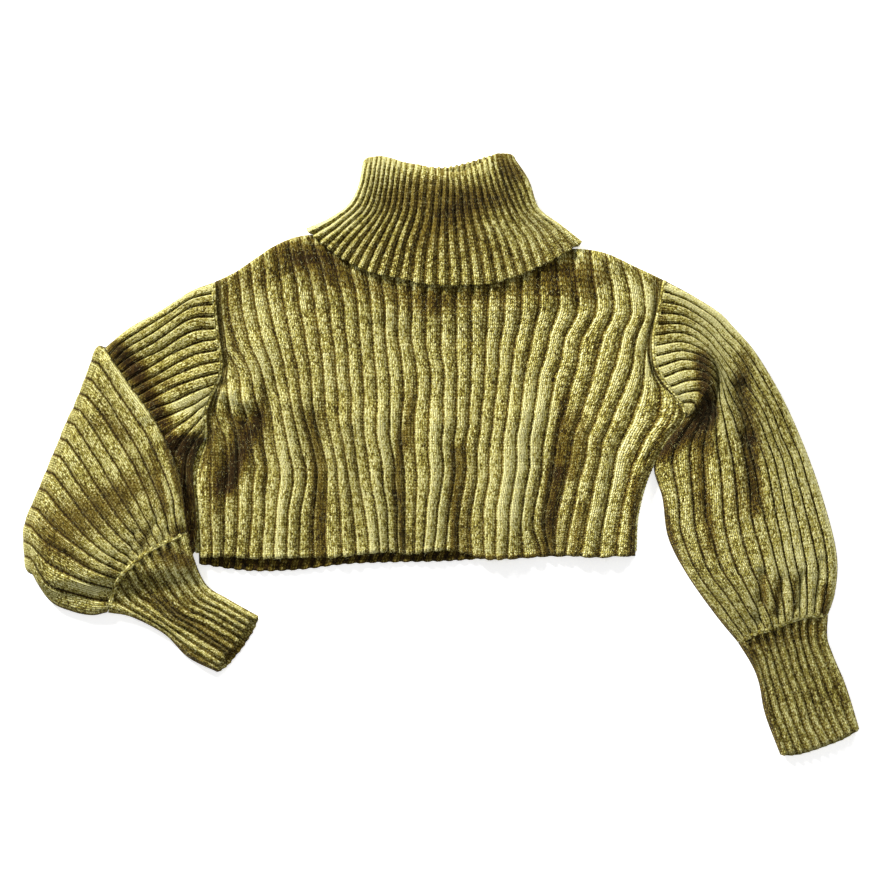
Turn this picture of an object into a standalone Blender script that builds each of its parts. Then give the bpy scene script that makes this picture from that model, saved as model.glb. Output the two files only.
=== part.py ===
"""A cropped rib-knit sweater with a roll collar and full sleeves, laid flat on its back.

All tables are in millimetres, in plan: X runs across the garment, Y up towards the neck.
Z is the height above the surface. Each knitted piece is a wall with raised ribs on the
outside over a plain inside. The left sleeve is folded back over itself, and the right
sleeve bends down with a tuck at its inner side.
"""

from collections import namedtuple

import bmesh
import bpy
import numpy as np

MM = 0.001

# The cloth
WALL = 3.0  # thickness of the knit between its ribs
LAYER_GAP = 0.3  # between layers that lie on each other
SEAM_GAP = 0.8  # between pieces linked edge to edge, in plan
RIB_HEIGHT = 2.2
# One rib: share of its width from the valley, and share of its height
RIB_PROFILE = ((0.0, 0.0), (0.24, 1.0), (0.76, 1.0))
EDGE_SAMPLE = 0.2  # share of a rib at which a rounded edge gets one more point
LEAST_SLIT = 0.6  # hollow between the two layers of a flattened tube
MOST_SLIT = 3.0

# Ribs on the upper side of each piece
PANEL_RIBS = 35
COLLAR_RIBS = 28
SLEEVE_LEFT_RIBS = 14
SLEEVE_RIGHT_RIBS = 13
CUFF_RIBS = 10

# Levels where the folded collar lies round the body: back of the turnover, back, front
COLLAR_BACK_LEVEL = WALL + 2 * LAYER_GAP
PANEL_STEP = WALL + LAYER_GAP
TURNOVER_UNDER = 12.8  # underside of the turnover's front, above the front panel's ribs
TURNOVER_BULGE = 1.6  # more at the middle of its height

# The turnover's loose edge is an arc, and the panels ramp up on to its back half
TURNOVER_ARC_CENTRE = (5, 418)
LIFT_FULL_RADIUS = 268
LIFT_END_RADIUS = 302

UPPER_STRETCH_LOFT = 8.0  # height of the left sleeve's upper stretch at its ribs' valleys
DRAPE_LENGTH = 26.0  # in which the lower stretch comes down off the upper stretch's edge
DRAPE_LINE = ((-256, -111), (-432, -131))  # lower edge of the upper stretch, hidden by the lower
BACK_FOLD_OUTWARDS = (-0.93, 0.36, 0.0)  # the way the left sleeve's fold faces

EDGE_RADIUS = 4.0
TUBE_RADIUS = 9.0
LEAST_EDGE = 0.4  # share of a panel's thickness left at its rounded edge

YARN = (0.27, 0.25, 0.08, 1.0)
YARN_ROUGHNESS = 0.9

# `at` is the share of the way along the piece. The points run across it, evenly spaced in
# ribs. A tube's points hold a third number, its height over what it lies on.
Section = namedtuple("Section", "name at points")
# How many of a panel's ribs have run out at its left and right edge, at a share of its length
LostRibs = namedtuple("LostRibs", "at left right")
# A soft ridge (height above 0) or trough (below 0) from `start` to `end`
Fold = namedtuple("Fold", "name start end width height")

BODY = (
    Section("shoulder and neckline", 0.00, (
        (-238, 181), (-215, 192), (-191, 207), (-166, 220), (-143, 225), (-117, 222),
        (-83, 215), (-52, 209), (-22, 204), (10, 201), (41, 201), (73, 205),
        (105, 210), (138, 212), (170, 210), (202, 197), (234, 183))),
    Section("upper armhole", 0.10, (
        (-237, 150), (-187, 165), (-130, 173), (-75, 168), (-21, 163), (38, 163), (100, 163),
        (171, 159), (229, 154))),
    Section("armhole", 0.22, (
        (-233, 116), (-180, 119), (-126, 121), (-74, 120), (-23, 119), (35, 120), (91, 121),
        (155, 122), (223, 123))),
    Section("lower armhole", 0.34, (
        (-231, 87), (-181, 82), (-130, 79), (-76, 78), (-20, 79), (36, 80), (91, 81),
        (157, 84), (227, 88))),
    Section("above the underarm", 0.47, (
        (-247, 45), (-182, 42), (-134, 39), (-76, 38), (-19, 39), (38, 40), (94, 41),
        (165, 42), (256, 43))),
    Section("underarm", 0.56, (
        (-247, 17), (-187, 16), (-133, 16), (-80, 16), (-25, 16), (32, 16), (88, 16),
        (155, 17), (238, 18))),
    Section("waist", 0.68, (
        (-257, -18), (-191, -20), (-133, -21), (-85, -21), (-31, -21), (24, -21), (80, -21),
        (142, -19), (219, -16))),
    Section("above the hem", 0.83, (
        (-255, -63), (-194, -64), (-138, -65), (-77, -65), (-32, -65), (17, -65), (74, -65),
        (131, -63), (206, -60))),
)
FRONT_HEM = Section("front hem", 1.00, (
    (-253, -107), (-226, -107), (-196, -108), (-168, -108), (-138, -107), (-106, -107),
    (-74, -103), (-53, -101), (-32, -104), (-11, -101), (16, -101), (47, -110), (72, -109),
    (110, -105), (126, -105), (160, -107), (203, -106)))
BACK_HEM = Section("back hem", 1.00, (
    (-254, -114), (-202, -121), (-151, -120), (-99, -114), (-47, -112),
    (3, -111), (55, -108), (128, -106), (204, -106)))
LEFT_UNDERARM_AT = 0.56
RIGHT_UNDERARM_AT = 0.47
# The panels' outer ribs run out at the armholes, where the knit gets narrower
LOST_RIBS = (
    LostRibs(0.00, 4.6, 2.0),
    LostRibs(0.22, 4.3, 2.2),
    LostRibs(0.34, 3.2, 1.4),
    LostRibs(0.47, 2.0, 0.0),
    LostRibs(0.56, 1.3, 0.0),
    LostRibs(0.68, 0.6, 0.0),
    LostRibs(0.83, 0.0, 0.0),
)
LOST_STRIP = 0.02  # share of the panel's width in which they run out

TURNOVER = (
    Section("top fold", 0.00, (
        (-82, 306), (-59, 308), (-33, 301), (1, 298), (30, 303), (56, 311), (78, 310))),
    Section("below the fold", 0.25, (
        (-87, 281), (-64, 278), (-36, 276), (0, 275), (34, 275), (64, 278), (93, 286))),
    Section("neck", 0.45, (
        (-96, 264), (-71, 254), (-41, 250), (-2, 245), (39, 247), (75, 253), (102, 260))),
    Section("spread", 0.70, (
        (-114, 250), (-92, 230), (-56, 215), (-4, 208), (48, 213), (91, 227), (126, 241))),
    Section("loose edge", 1.00, (
        (-142, 237), (-108, 208), (-64, 189), (-5, 178), (54, 180), (104, 197), (149, 223))),
)
NECKLINE = (0.35, 0.74)  # the stretch of the panels' top edge that the collar stands on
STAND_INSET = 0.026  # share of the collar's width by which its stand lies inside the turnover
INSIDE_INSET = 0.02  # the same for the wall's inside within its outside

SLEEVE_LEFT_UPPER = (
    Section("below the shoulder", 0.28, (
        (-264, 171, 8), (-265, 144, 8), (-262, 108, 8), (-264, 72, 9), (-274, 28, 10), (-259, -16, 7))),
    Section("upper arm", 0.52, (
        (-295, 151, 8), (-297, 123, 8), (-300, 87, 8), (-308, 52, 8), (-306, 3, 8), (-258, -101, 7))),
    Section("towards the fold", 0.76, (
        (-326, 134, 8), (-331, 102, 8), (-345, 60, 8), (-358, 20, 8), (-368, -37, 8), (-312, -110, 7))),
    Section("fold", 1.00, (
        (-352, 113, 7), (-369, 65, 7), (-388, 22, 7), (-408, -27, 7), (-428, -78, 7), (-427, -125, 7))),
)
SLEEVE_LEFT_LOWER = (
    Section("fold", 0.00, (
        (-352, 113, 7), (-369, 65, 7), (-388, 22, 7), (-408, -27, 7), (-428, -78, 7), (-427, -125, 7))),
    Section("below the fold", 0.25, (
        (-329, 79, 8), (-345, 32, 9), (-366, -10, 9), (-390, -49, 9), (-409, -98, 9), (-410, -153, 8))),
    Section("fullest", 0.50, (
        (-297, 33, 8), (-320, -10, 10), (-345, -44, 11), (-369, -75, 11), (-386, -110, 10), (-387, -164, 8))),
    Section("gather", 0.75, (
        (-274, -20, 8), (-301, -52, 11), (-321, -76, 12), (-345, -98, 11), (-365, -122, 10),
        (-366, -168, 8))),
    Section("cuff seam", 1.00, (
        (-265, -80, 8), (-287, -90, 10), (-306, -100, 10), (-323, -114, 10), (-339, -132, 9),
        (-350, -165, 8))),
)
CUFF_LEFT = (
    Section("heel", 0.28, (
        (-258, -108, 7), (-272, -122, 7), (-289, -131, 7), (-306, -144, 7), (-318, -158, 7),
        (-322, -171, 7))),
    Section("bend", 0.50, (
        (-246, -136, 7), (-256, -148, 7), (-269, -159, 7), (-280, -169, 7), (-286, -178, 7),
        (-290, -188, 7))),
    Section("wrist", 0.72, (
        (-223, -151, 7), (-231, -163, 7), (-240, -174, 7), (-250, -186, 7), (-259, -197, 7),
        (-267, -211, 7))),
    Section("mouth", 1.00, (
        (-191, -169, 7), (-196, -183, 7), (-204, -196, 7), (-213, -209, 7), (-223, -220, 7),
        (-234, -228, 7))),
)
SLEEVE_RIGHT = (
    Section("crown", 0.10, (
        (266, 166, 9), (257, 148, 10), (254, 125, 11), (254, 102, 13), (259, 74, 15), (262, 47, 12))),
    Section("tuck edge", 0.20, (
        (297, 145, 10), (287, 127, 11), (278, 112, 13), (280, 93, 17), (278, 70, 18), (264, 44, 14))),
    Section("tuck foot", 0.24, (
        (306, 135, 10), (293, 119, 12), (285, 104, 13), (287, 87, 8), (285, 60, 7), (257, 38, 7))),
    Section("below the tuck", 0.33, (
        (328, 110, 10), (312, 96, 13), (299, 79, 14), (293, 60, 12), (277, 35, 7), (244, 21, 7))),
    Section("elbow", 0.43, (
        (356, 64, 10), (337, 52, 13), (319, 42, 13), (300, 29, 14), (270, 11, 9), (226, -9, 7))),
    Section("forearm", 0.54, (
        (381, 9, 10), (358, 3, 13), (337, -5, 12), (309, -16, 14), (272, -37, 11), (232, -45, 8))),
    Section("full", 0.66, (
        (402, -51, 10), (374, -58, 13), (348, -63, 14), (314, -68, 14), (275, -79, 12), (238, -86, 8))),
    Section("fullest", 0.78, (
        (415, -105, 10), (385, -110, 14), (359, -112, 15), (327, -117, 15), (290, -123, 13), (257, -124, 9))),
    Section("gather", 0.90, (
        (413, -145, 9), (387, -148, 12), (366, -150, 13), (341, -154, 13), (316, -162, 12), (288, -168, 9))),
    Section("cuff seam", 1.00, (
        (406, -167, 8), (385, -168, 10), (366, -173, 10), (348, -181, 10), (330, -186, 9), (311, -196, 8))),
)
CUFF_RIGHT = (
    Section("below the seam", 0.14, (
        (405, -187, 7), (385, -190, 7), (370, -195, 7), (353, -202, 7), (338, -208, 7), (323, -215, 7))),
    Section("wrist", 0.40, (
        (411, -209, 7), (393, -215, 7), (377, -222, 7), (361, -227, 7), (346, -232, 7), (333, -238, 7))),
    Section("hand", 0.66, (
        (424, -240, 7), (404, -247, 7), (388, -253, 7), (372, -258, 7), (355, -264, 7), (339, -269, 7))),
    Section("mouth", 1.00, (
        (439, -288, 7), (425, -296, 7), (408, -303, 7), (390, -310, 7), (373, -315, 7), (356, -315, 7))),
)
ARMHOLE_LOFT = (8, 8.5, 9, 9.5, 9.5, 8)  # a sleeve's height at its seam, from shoulder to underarm
ARMHOLE_POINTS = 21
CUFF_SEAM_LOFT = (7, 8, 8, 8, 8, 7)  # a cuff's height at its seam

FRONT_FOLDS = (
    Fold("ridge below the left shoulder", (-188, 116), (-201, 58), 13, 3.0),
    Fold("pucker at the left armhole", (-228, 66), (-207, 56), 8, 6.0),
    Fold("knot at the left armhole", (-226, 85), (-215, 68), 5, 5.0),
    Fold("left side ridge", (-240, 10), (-240, -112), 9, 3.5),
    Fold("ridge 1", (-159, 52), (-165, -112), 16, 4.5),
    Fold("ridge 2", (-101, 37), (-108, -112), 14, 3.5),
    Fold("ridge 3", (-66, 42), (-72, -112), 13, 4.0),
    Fold("ridge 4", (-9, 32), (-14, -112), 15, 5.0),
    Fold("ridge 5", (75, 37), (58, -112), 21, 6.0),
    Fold("ridge 6", (167, 26), (148, -112), 21, 4.5),
    Fold("right side ridge", (209, 16), (188, -112), 12, 3.0),
)
SLEEVE_LEFT_FOLDS = (
    Fold("ridge along the shoulder", (-300, 128), (-246, 148), 12, 2.0),
    Fold("ridge above the underarm", (-300, 48), (-246, 86), 12, 2.0),
    Fold("roll at the underarm", (-296, 16), (-254, 26), 9, 2.5),
)
SLEEVE_RIGHT_FOLDS = (
    Fold("trough below the tuck", (312, 70), (320, 16), 9, -5.0),
    Fold("the same trough, on", (320, 16), (327, -42), 9, -5.0),
    Fold("inner trough", (272, 5), (274, -68), 7, -3.5),
    Fold("gather 1", (335, -123), (332, -175), 5, -3.0),
    Fold("gather 2", (356, -131), (352, -167), 5, -3.0),
    Fold("gather 3", (377, -126), (374, -159), 5, -3.0),
    Fold("gather 4", (398, -112), (392, -154), 5, -2.5),
)
NO_FOLDS = ()

# Rows of points along each piece, as shares of its length, closer where it bends
BODY_ROWS = (0, 0.04, 0.10, 0.16, 0.22, 0.28, 0.34, 0.40, 0.47, 0.56, 0.68, 0.83, 0.93, 1)
TURNOVER_ROWS = (1, 0.85, 0.7, 0.45, 0.25, 0)  # from its loose edge up to the top fold
STAND_ROWS = (0, 0.4, 1)  # from the top fold down to the neckline
SLEEVE_LEFT_UPPER_ROWS = (0, 0.14, 0.28, 0.52, 0.76, 0.92, 1)
SLEEVE_LEFT_LOWER_ROWS = (0, 0.14, 0.29, 0.43, 0.57, 0.71, 0.86, 1)
SLEEVE_RIGHT_ROWS = (
    0, 0.05, 0.10, 0.15, 0.20, 0.24, 0.28, 0.33, 0.38, 0.43, 0.54, 0.66, 0.78, 0.90, 0.96, 1)
CUFF_ROWS = (0, 0.17, 0.33, 0.5, 0.67, 0.83, 1)
TURN_ROWS = 3  # more rows round a fold
# The ribs flatten towards a fold and a seam: shares of their full height at those rows
TURNOVER_RIBS = (1, 1, 1, 1, 1, 0.4)
SLEEVE_LEFT_UPPER_RIBS = (1, 1, 1, 1, 1, 0.5, 0)
SLEEVE_LEFT_LOWER_RIBS = (0.8, 1, 1, 1, 1, 1, 1, 0.8)


# ---------------------------------------------------------------- curves through the tables


def smooth(value):
    """0 below 0, 1 above 1, with a soft start and end."""
    held = np.clip(value, 0.0, 1.0)
    return held * held * (3.0 - 2.0 * held)


def slopes(values, at):
    """The slope at each point of a table, from its neighbours."""
    step = np.diff(at).reshape((-1,) + (1,) * (values.ndim - 1))
    rate = np.diff(values, axis=0) / step
    middle = (rate[:-1] * step[1:] + rate[1:] * step[:-1]) / (step[:-1] + step[1:])
    return np.concatenate([rate[:1], middle, rate[-1:]])


def level_slopes(values, at):
    """The same for heights: it never swings past a point of the table."""
    step = np.diff(at).reshape((-1,) + (1,) * (values.ndim - 1))
    rate = np.diff(values, axis=0) / step
    product = rate[:-1] * rate[1:]
    total = np.where(product > 0, rate[:-1] + rate[1:], 1.0)
    middle = np.where(product > 0, 2.0 * product / total, 0.0)
    return np.concatenate([rate[:1], middle, rate[-1:]])


def through(values, at, where):
    """A smooth curve through `values` (one for each of `at`), read at `where`."""
    values, at = np.asarray(values, float), np.asarray(at, float)
    where = np.clip(where, at[0], at[-1])
    index = np.clip(np.searchsorted(at, where, side="right") - 1, 0, len(at) - 2)
    width = (at[index + 1] - at[index]).reshape((-1,) + (1,) * (values.ndim - 1))
    t = ((where - at[index]) / (at[index + 1] - at[index])).reshape(width.shape)
    slope = slopes(values, at)
    if values.shape[-1] > 2:
        slope[..., 2] = level_slopes(values[..., 2], at)
    start, end = values[index], values[index + 1]
    rise = 2 * t**3 - 3 * t**2 + 1
    leave = (t**3 - 2 * t**2 + t) * width
    arrive = (t**3 - t**2) * width
    return rise * start + leave * slope[index] + (1 - rise) * end + arrive * slope[index + 1]


def across(points, v):
    """One section's points, read at the shares `v` of its width."""
    return through(points, np.linspace(0.0, 1.0, len(points)), np.asarray(v))


def plan(sections, u, v):
    """The grid of points at shares `u` along a piece and `v` across it."""
    rows = np.stack([across(section.points, v) for section in sections])
    return through(rows, [section.at for section in sections], np.asarray(u))


# ---------------------------------------------------------------- where the samples lie


def rib_samples(ribs):
    """Shares across a piece: each rib's valley and the two shoulders of its crest."""
    shares = [(rib + share) / ribs for rib in range(ribs) for share, _ in RIB_PROFILE]
    return np.array(shares + [1.0])


def plain_samples(ribs, first=0.0):
    """One share for each rib, and one more at each rounded edge."""
    return np.array([first / ribs, *(np.arange(1, ribs) / ribs), 1.0 - first / ribs])


def rib_heights(v, ribs):
    shares = [share for share, _ in RIB_PROFILE] + [1.0]
    heights = [height for _, height in RIB_PROFILE] + [0.0]
    return RIB_HEIGHT * np.interp((v * ribs) % 1.0, shares, heights)


def from_edges(grid):
    """How far each point of a row lies from the row's nearer end."""
    steps = np.linalg.norm(np.diff(grid[..., :2], axis=1), axis=2)
    run = np.concatenate([np.zeros((len(grid), 1)), np.cumsum(steps, axis=1)], axis=1)
    return np.minimum(run, run[:, -1:] - run)


def bulge(distance, radius):
    """The profile of a round edge: 0 at the edge, 1 from `radius` inwards."""
    return np.sqrt(1.0 - (1.0 - np.clip(distance / radius, 0.0, 1.0)) ** 2)


def lost_shares(at):
    """The shares of a panel's ribs that have run out at its left and right edge."""
    known = [lost.at for lost in LOST_RIBS]
    sides = ([lost.left for lost in LOST_RIBS], [lost.right for lost in LOST_RIBS])
    return [np.interp(at, known, side) / PANEL_RIBS for side in sides]


def spread(at, v):
    """Where a panel's samples lie across it, the ribs that have run out in the edge's strip."""
    left, right = lost_shares(at)
    strip_left, strip_right = min(left, LOST_STRIP), min(right, LOST_STRIP)
    return np.interp(v, [0.0, left, 1.0 - right, 1.0], [0.0, strip_left, 1.0 - strip_right, 1.0])


def panel_plan(sections, v):
    """The grid of a panel's points."""
    return np.concatenate([plan(sections, [at], spread(at, v)) for at in BODY_ROWS])


def panel_ribs(v):
    """The height of a panel's ribs at its points: none where they have run out."""
    edges = np.array([lost_shares(at) for at in BODY_ROWS])
    still = (v > edges[:, :1] - 1e-6) & (v < 1.0 - edges[:, 1:] + 1e-6)
    return rib_heights(v, PANEL_RIBS)[None, :] * still


# ---------------------------------------------------------------- heights


def beside(grid, start, end):
    """How far each point lies from the straight run between two points."""
    start, end = np.array(start, float), np.array(end, float)
    run = end - start
    share = np.clip((grid[..., :2] - start) @ run / (run @ run), 0.0, 1.0)
    return np.linalg.norm(grid[..., :2] - start - share[..., None] * run, axis=-1)


def folded(grid, folds):
    """The sum of the soft folds at each point."""
    height = np.zeros(grid.shape[:-1])
    for fold in folds:
        height += fold.height * np.exp(-((beside(grid, fold.start, fold.end) / fold.width) ** 2))
    return height


def collar_lift(grid):
    """How far the panels are raised by the back of the turnover that lies below them."""
    radius = np.linalg.norm(grid[..., :2] - np.array(TURNOVER_ARC_CENTRE), axis=-1)
    ramp = (LIFT_END_RADIUS - radius) / (LIFT_END_RADIUS - LIFT_FULL_RADIUS)
    return COLLAR_BACK_LEVEL * smooth(ramp)


def drape(grid):
    """How far the left sleeve's lower stretch is raised by the upper stretch."""
    start, end = np.array(DRAPE_LINE[0], float), np.array(DRAPE_LINE[1], float)
    along = (end - start) / np.linalg.norm(end - start)
    offset = grid[..., :2] - start
    beyond = along[1] * offset[..., 0] - along[0] * offset[..., 1]
    raised = UPPER_STRETCH_LOFT + RIB_HEIGHT + 2 * LAYER_GAP
    return raised * (1.0 - smooth(-beyond / DRAPE_LENGTH))


def no_lift(grid):
    return np.zeros(grid.shape[:-1])


def at_height(grid, height):
    return np.concatenate([grid[..., :2], height[..., None]], axis=-1)


# ---------------------------------------------------------------- flattened tubes

# What a tube's layers need: its sections, what it lies on, and its folds
Tube = namedtuple("Tube", "sections lies_on folds ribs")


def outer_layer(tube, u, v, upper, rib_share):
    """The upper or lower outside of a flattened tube, with its edges rounded."""
    full = np.concatenate([[0.0], v[(v > 0) & (v < 1)], [1.0]])
    grid = plan(tube.sections, u, full)
    under = tube.lies_on(grid)
    least = 2 * WALL + LEAST_SLIT
    loft = np.maximum(grid[..., 2] + folded(grid, tube.folds), np.minimum(grid[..., 2], least))
    half = loft / 2
    edge = bulge(from_edges(grid), TUBE_RADIUS)
    if upper:
        ribs = rib_heights(full, tube.ribs) * np.asarray(rib_share)[:, None]
        height = under + half + (half + ribs) * edge
    else:
        height = under + half - half * edge
    kept = np.isin(full, v)
    return at_height(grid, height)[:, kept]


def inner_layer(tube, u, v, upper):
    """The inside of the same layer, a wall's thickness in."""
    outside = outer_layer(tube, u, v, upper, np.zeros(len(u)))
    other = outer_layer(tube, u, v, not upper, np.zeros(len(u)))
    middle = (outside[..., 2] + other[..., 2]) / 2
    low = np.minimum(outside[..., 2], other[..., 2])
    floor = np.minimum(low + WALL, middle - LEAST_SLIT / 2)
    ceiling = np.maximum(2 * middle - low - WALL, middle + LEAST_SLIT / 2)
    ceiling = np.minimum(ceiling, floor + MOST_SLIT)
    height = ceiling if upper else floor
    ends = (v < v[0] + 1e-9) | (v > v[-1] - 1e-9)
    height = np.where(ends[None, :], (floor + ceiling) / 2, height)
    return at_height(outside, height)


def ring(first, second):
    """Rows round a tube: along the first side, and back along the second."""
    return np.concatenate([first, second[:, ::-1]], axis=1)


def turned(start, end, outwards):
    """Rows of a fold, round half a circle from the row `start` to the row `end`."""
    middle, half = (start + end) / 2, (start - end) / 2
    radius = np.linalg.norm(half, axis=-1, keepdims=True)
    angles = np.linspace(0.0, np.pi, TURN_ROWS + 2)[1:-1]
    return np.stack([middle + np.cos(a) * half + np.sin(a) * radius * outwards for a in angles])


def inner_edge(sections, ribs):
    """The share of a rib that a wall's thickness takes up at a tube's edge."""
    widths = [np.abs(np.diff(np.array(s.points)[:, :2], axis=0)) for s in sections]
    width = min(np.linalg.norm(steps, axis=1).sum() for steps in widths)
    return WALL * ribs / width


# ---------------------------------------------------------------- meshes


def bridged(first, second, first_at, second_at, closed):
    """Triangles between two rows of vertices that hold different numbers of points."""
    if closed:
        first, first_at = [*first, first[0]], [*first_at, first_at[0] + 2.0]
        second, second_at = [*second, second[0]], [*second_at, second_at[0] + 2.0]
    faces, i, j = [], 0, 0
    while i < len(first) - 1 or j < len(second) - 1:
        more = i < len(first) - 1
        if more and (j == len(second) - 1 or first_at[i + 1] <= second_at[j + 1]):
            faces.append((first[i], first[i + 1], second[j]))
            i += 1
        else:
            faces.append((first[i], second[j + 1], second[j]))
            j += 1
    return faces


def skin_faces(rows, closed):
    """The quads of a grid of vertices."""
    columns = range(len(rows[0]) if closed else len(rows[0]) - 1)
    faces = []
    for row, following in zip(rows[:-1], rows[1:]):
        for i in columns:
            k = (i + 1) % len(row)
            faces.append((row[i], row[k], following[k], following[i]))
    return faces


def wall_object(name, outer, inner, outer_at, inner_at, closed):
    """One closed wall from the rows of its outside and of its inside, as an object."""
    mesh = bmesh.new()
    outside = [[mesh.verts.new(point * MM) for point in row] for row in outer]
    inside = [[mesh.verts.new(point * MM) for point in row] for row in inner]
    faces = skin_faces(outside, closed) + skin_faces(inside, closed)
    for end in (0, -1):
        faces += bridged(outside[end], inside[end], outer_at, inner_at, closed)
    if not closed:
        for side in (0, -1):
            edges = [[o[side], i[side]] for o, i in zip(outside, inside)]
            faces += skin_faces(edges, False)
    for face in faces:
        mesh.faces.new(face)
    bmesh.ops.recalc_face_normals(mesh, faces=mesh.faces)
    data = bpy.data.meshes.new(name)
    mesh.to_mesh(data)
    mesh.free()
    data.materials.append(knit_material())
    data.shade_smooth()
    data.set_sharp_from_angle(angle=np.radians(50))
    made = bpy.data.objects.new(name, data)
    bpy.context.scene.collection.objects.link(made)
    return made


def knit_material():
    """Olive wool, the same on every piece."""
    found = bpy.data.materials.get("olive_wool")
    if found:
        return found
    made = bpy.data.materials.new("olive_wool")
    made.use_nodes = True
    shader = made.node_tree.nodes["Principled BSDF"]
    shader.inputs["Base Color"].default_value = YARN
    shader.inputs["Roughness"].default_value = YARN_ROUGHNESS
    made.diffuse_color = YARN
    return made


# ---------------------------------------------------------------- the pieces


def panel(name, hem, level, folds, ribbed):
    """The front or the back, from the shoulders to the hem."""
    sections = (*BODY, hem)
    v_plain = plain_samples(PANEL_RIBS)
    v = rib_samples(PANEL_RIBS) if ribbed else v_plain
    top, bottom = panel_plan(sections, v), panel_plan(sections, v_plain)
    edge = bulge(from_edges(top), EDGE_RADIUS)
    edge[0] *= LEAST_EDGE
    thick = WALL + folded(top, folds) / 2
    if ribbed:
        thick += panel_ribs(v)
    thick *= LEAST_EDGE + (1.0 - LEAST_EDGE) * edge
    rise = level + collar_lift(top) + folded(top, folds) / 2
    under = level + collar_lift(bottom) + folded(bottom, folds) / 2
    outer, inner = at_height(top, rise + thick), at_height(bottom, under)
    return wall_object(name, outer, inner, v, v_plain, closed=False)


def flattened(front, back, low, high, radius, ribs=0.0):
    """Rows round a flattened ring between two heights, with its edges rounded."""
    middle, half = (low + high) / 2, (high - low) / 2
    to_left = np.linalg.norm(back[..., :2] - front[:, :1, :2], axis=-1)
    to_right = np.linalg.norm(back[..., :2] - front[:, -1:, :2], axis=-1)
    edge, back_edge = from_edges(front), np.minimum(to_left, to_right)
    front = at_height(front, middle + (half + ribs) * bulge(edge, radius))
    return ring(front, at_height(back, middle - half * bulge(back_edge, radius)))


def turnover(v):
    """The turnover in plan, from its loose edge up to the top fold."""
    return plan(TURNOVER, TURNOVER_ROWS, v)


def stand(v):
    """The stand in plan, from the top fold down to the neckline."""
    top = plan(TURNOVER, [0.0], STAND_INSET + (1.0 - 2 * STAND_INSET) * v)
    first, last = NECKLINE
    foot = plan(BODY, [0.0], first + (last - first) * v) + np.array([0.0, SEAM_GAP])
    return top + np.array(STAND_ROWS)[:, None, None] * (foot - top)


def collar():
    """The roll collar: a stand on the neckline, folded over at the top."""
    v, v_back = rib_samples(COLLAR_RIBS), plain_samples(COLLAR_RIBS // 2)[1:-1]
    w = plain_samples(COLLAR_RIBS, INSIDE_INSET * COLLAR_RIBS)
    swell = TURNOVER_BULGE * np.sin(np.pi * np.array(TURNOVER_ROWS))[:, None]
    ribs = np.array(TURNOVER_RIBS)[:, None] * rib_heights(v, COLLAR_RIBS)
    high = TURNOVER_UNDER + WALL + swell
    stand_inside = COLLAR_BACK_LEVEL + WALL
    stand_top = stand_inside + LAYER_GAP

    over_outside = flattened(turnover(v), turnover(v_back), 0.0, high, 2 * WALL, ribs)
    over_inside = flattened(turnover(w), turnover(v_back), WALL, high - WALL, 1.6 * WALL)
    stand_inner = flattened(stand(v), stand(v_back), stand_inside, stand_top, WALL)
    stand_outer = flattened(stand(w), stand(v_back), COLLAR_BACK_LEVEL, stand_top + WALL, WALL)
    up = np.array([0.0, 1.0, 0.0])
    outer_fold = turned(over_outside[-1], stand_inner[0], up)
    inner_fold = turned(over_inside[-1], stand_outer[0], up)
    outer, inner = [*over_outside, *outer_fold, *stand_inner], [*over_inside, *inner_fold, *stand_outer]
    outer_at, inner_at = [*v, *(2.0 - v_back[::-1])], [*w, *(2.0 - v_back[::-1])]
    return wall_object("collar", outer, inner, outer_at, inner_at, closed=True)


def armhole(edge, last_at, outwards):
    """The sleeve's first section: the panels' edge down to the underarm, a seam's gap out."""
    rows = [row for row in BODY_ROWS if row <= last_at]
    line = plan((*BODY, FRONT_HEM), rows, [edge])[:, 0]
    run = np.concatenate([[0.0], np.cumsum(np.linalg.norm(np.diff(line, axis=0), axis=1))])
    shares = np.linspace(0.0, 1.0, ARMHOLE_POINTS)
    points = [np.interp(shares * run[-1], run, line[:, k]) for k in (0, 1)]
    points[0] = points[0] + outwards * SEAM_GAP
    loft = np.interp(shares, np.linspace(0.0, 1.0, len(ARMHOLE_LOFT)), ARMHOLE_LOFT)
    return Section("armhole", 0.0, tuple(zip(*points, loft)))


def cuff_seam(sleeve_end, cuff_start):
    """A cuff's first section: the sleeve's last, a seam's gap further on."""
    points = np.array(sleeve_end.points, float)[:, :2]
    onwards = np.array(cuff_start.points, float)[:, :2] - points
    points += SEAM_GAP * onwards / np.linalg.norm(onwards, axis=1, keepdims=True)
    return Section("cuff seam", 0.0, tuple(zip(*points.T, CUFF_SEAM_LOFT)))


def tube_object(name, tube, u):
    """A flattened tube with its ribs on the upper side and a plain underside."""
    v, v_low = rib_samples(tube.ribs), plain_samples(tube.ribs, EDGE_SAMPLE)
    w = plain_samples(tube.ribs, inner_edge(tube.sections, tube.ribs))
    w_low = plain_samples(tube.ribs)[1:-1]
    full = np.ones(len(u))
    outer = ring(outer_layer(tube, u, v, True, full), outer_layer(tube, u, v_low, False, full))
    inner = ring(inner_layer(tube, u, w, True), inner_layer(tube, u, w_low, False))
    outer_at, inner_at = [*v, *(2.0 - v_low[::-1])], [*w, *(2.0 - w_low[::-1])]
    return wall_object(name, outer, inner, outer_at, inner_at, closed=True)


def folded_back(first_rows, last_rows):
    """Rows along a tube that is folded back: its first stretch, the turn, its last stretch."""
    turn = turned(first_rows[-1], last_rows[0], np.array(BACK_FOLD_OUTWARDS))
    return [*first_rows, *turn, *last_rows]


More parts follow.
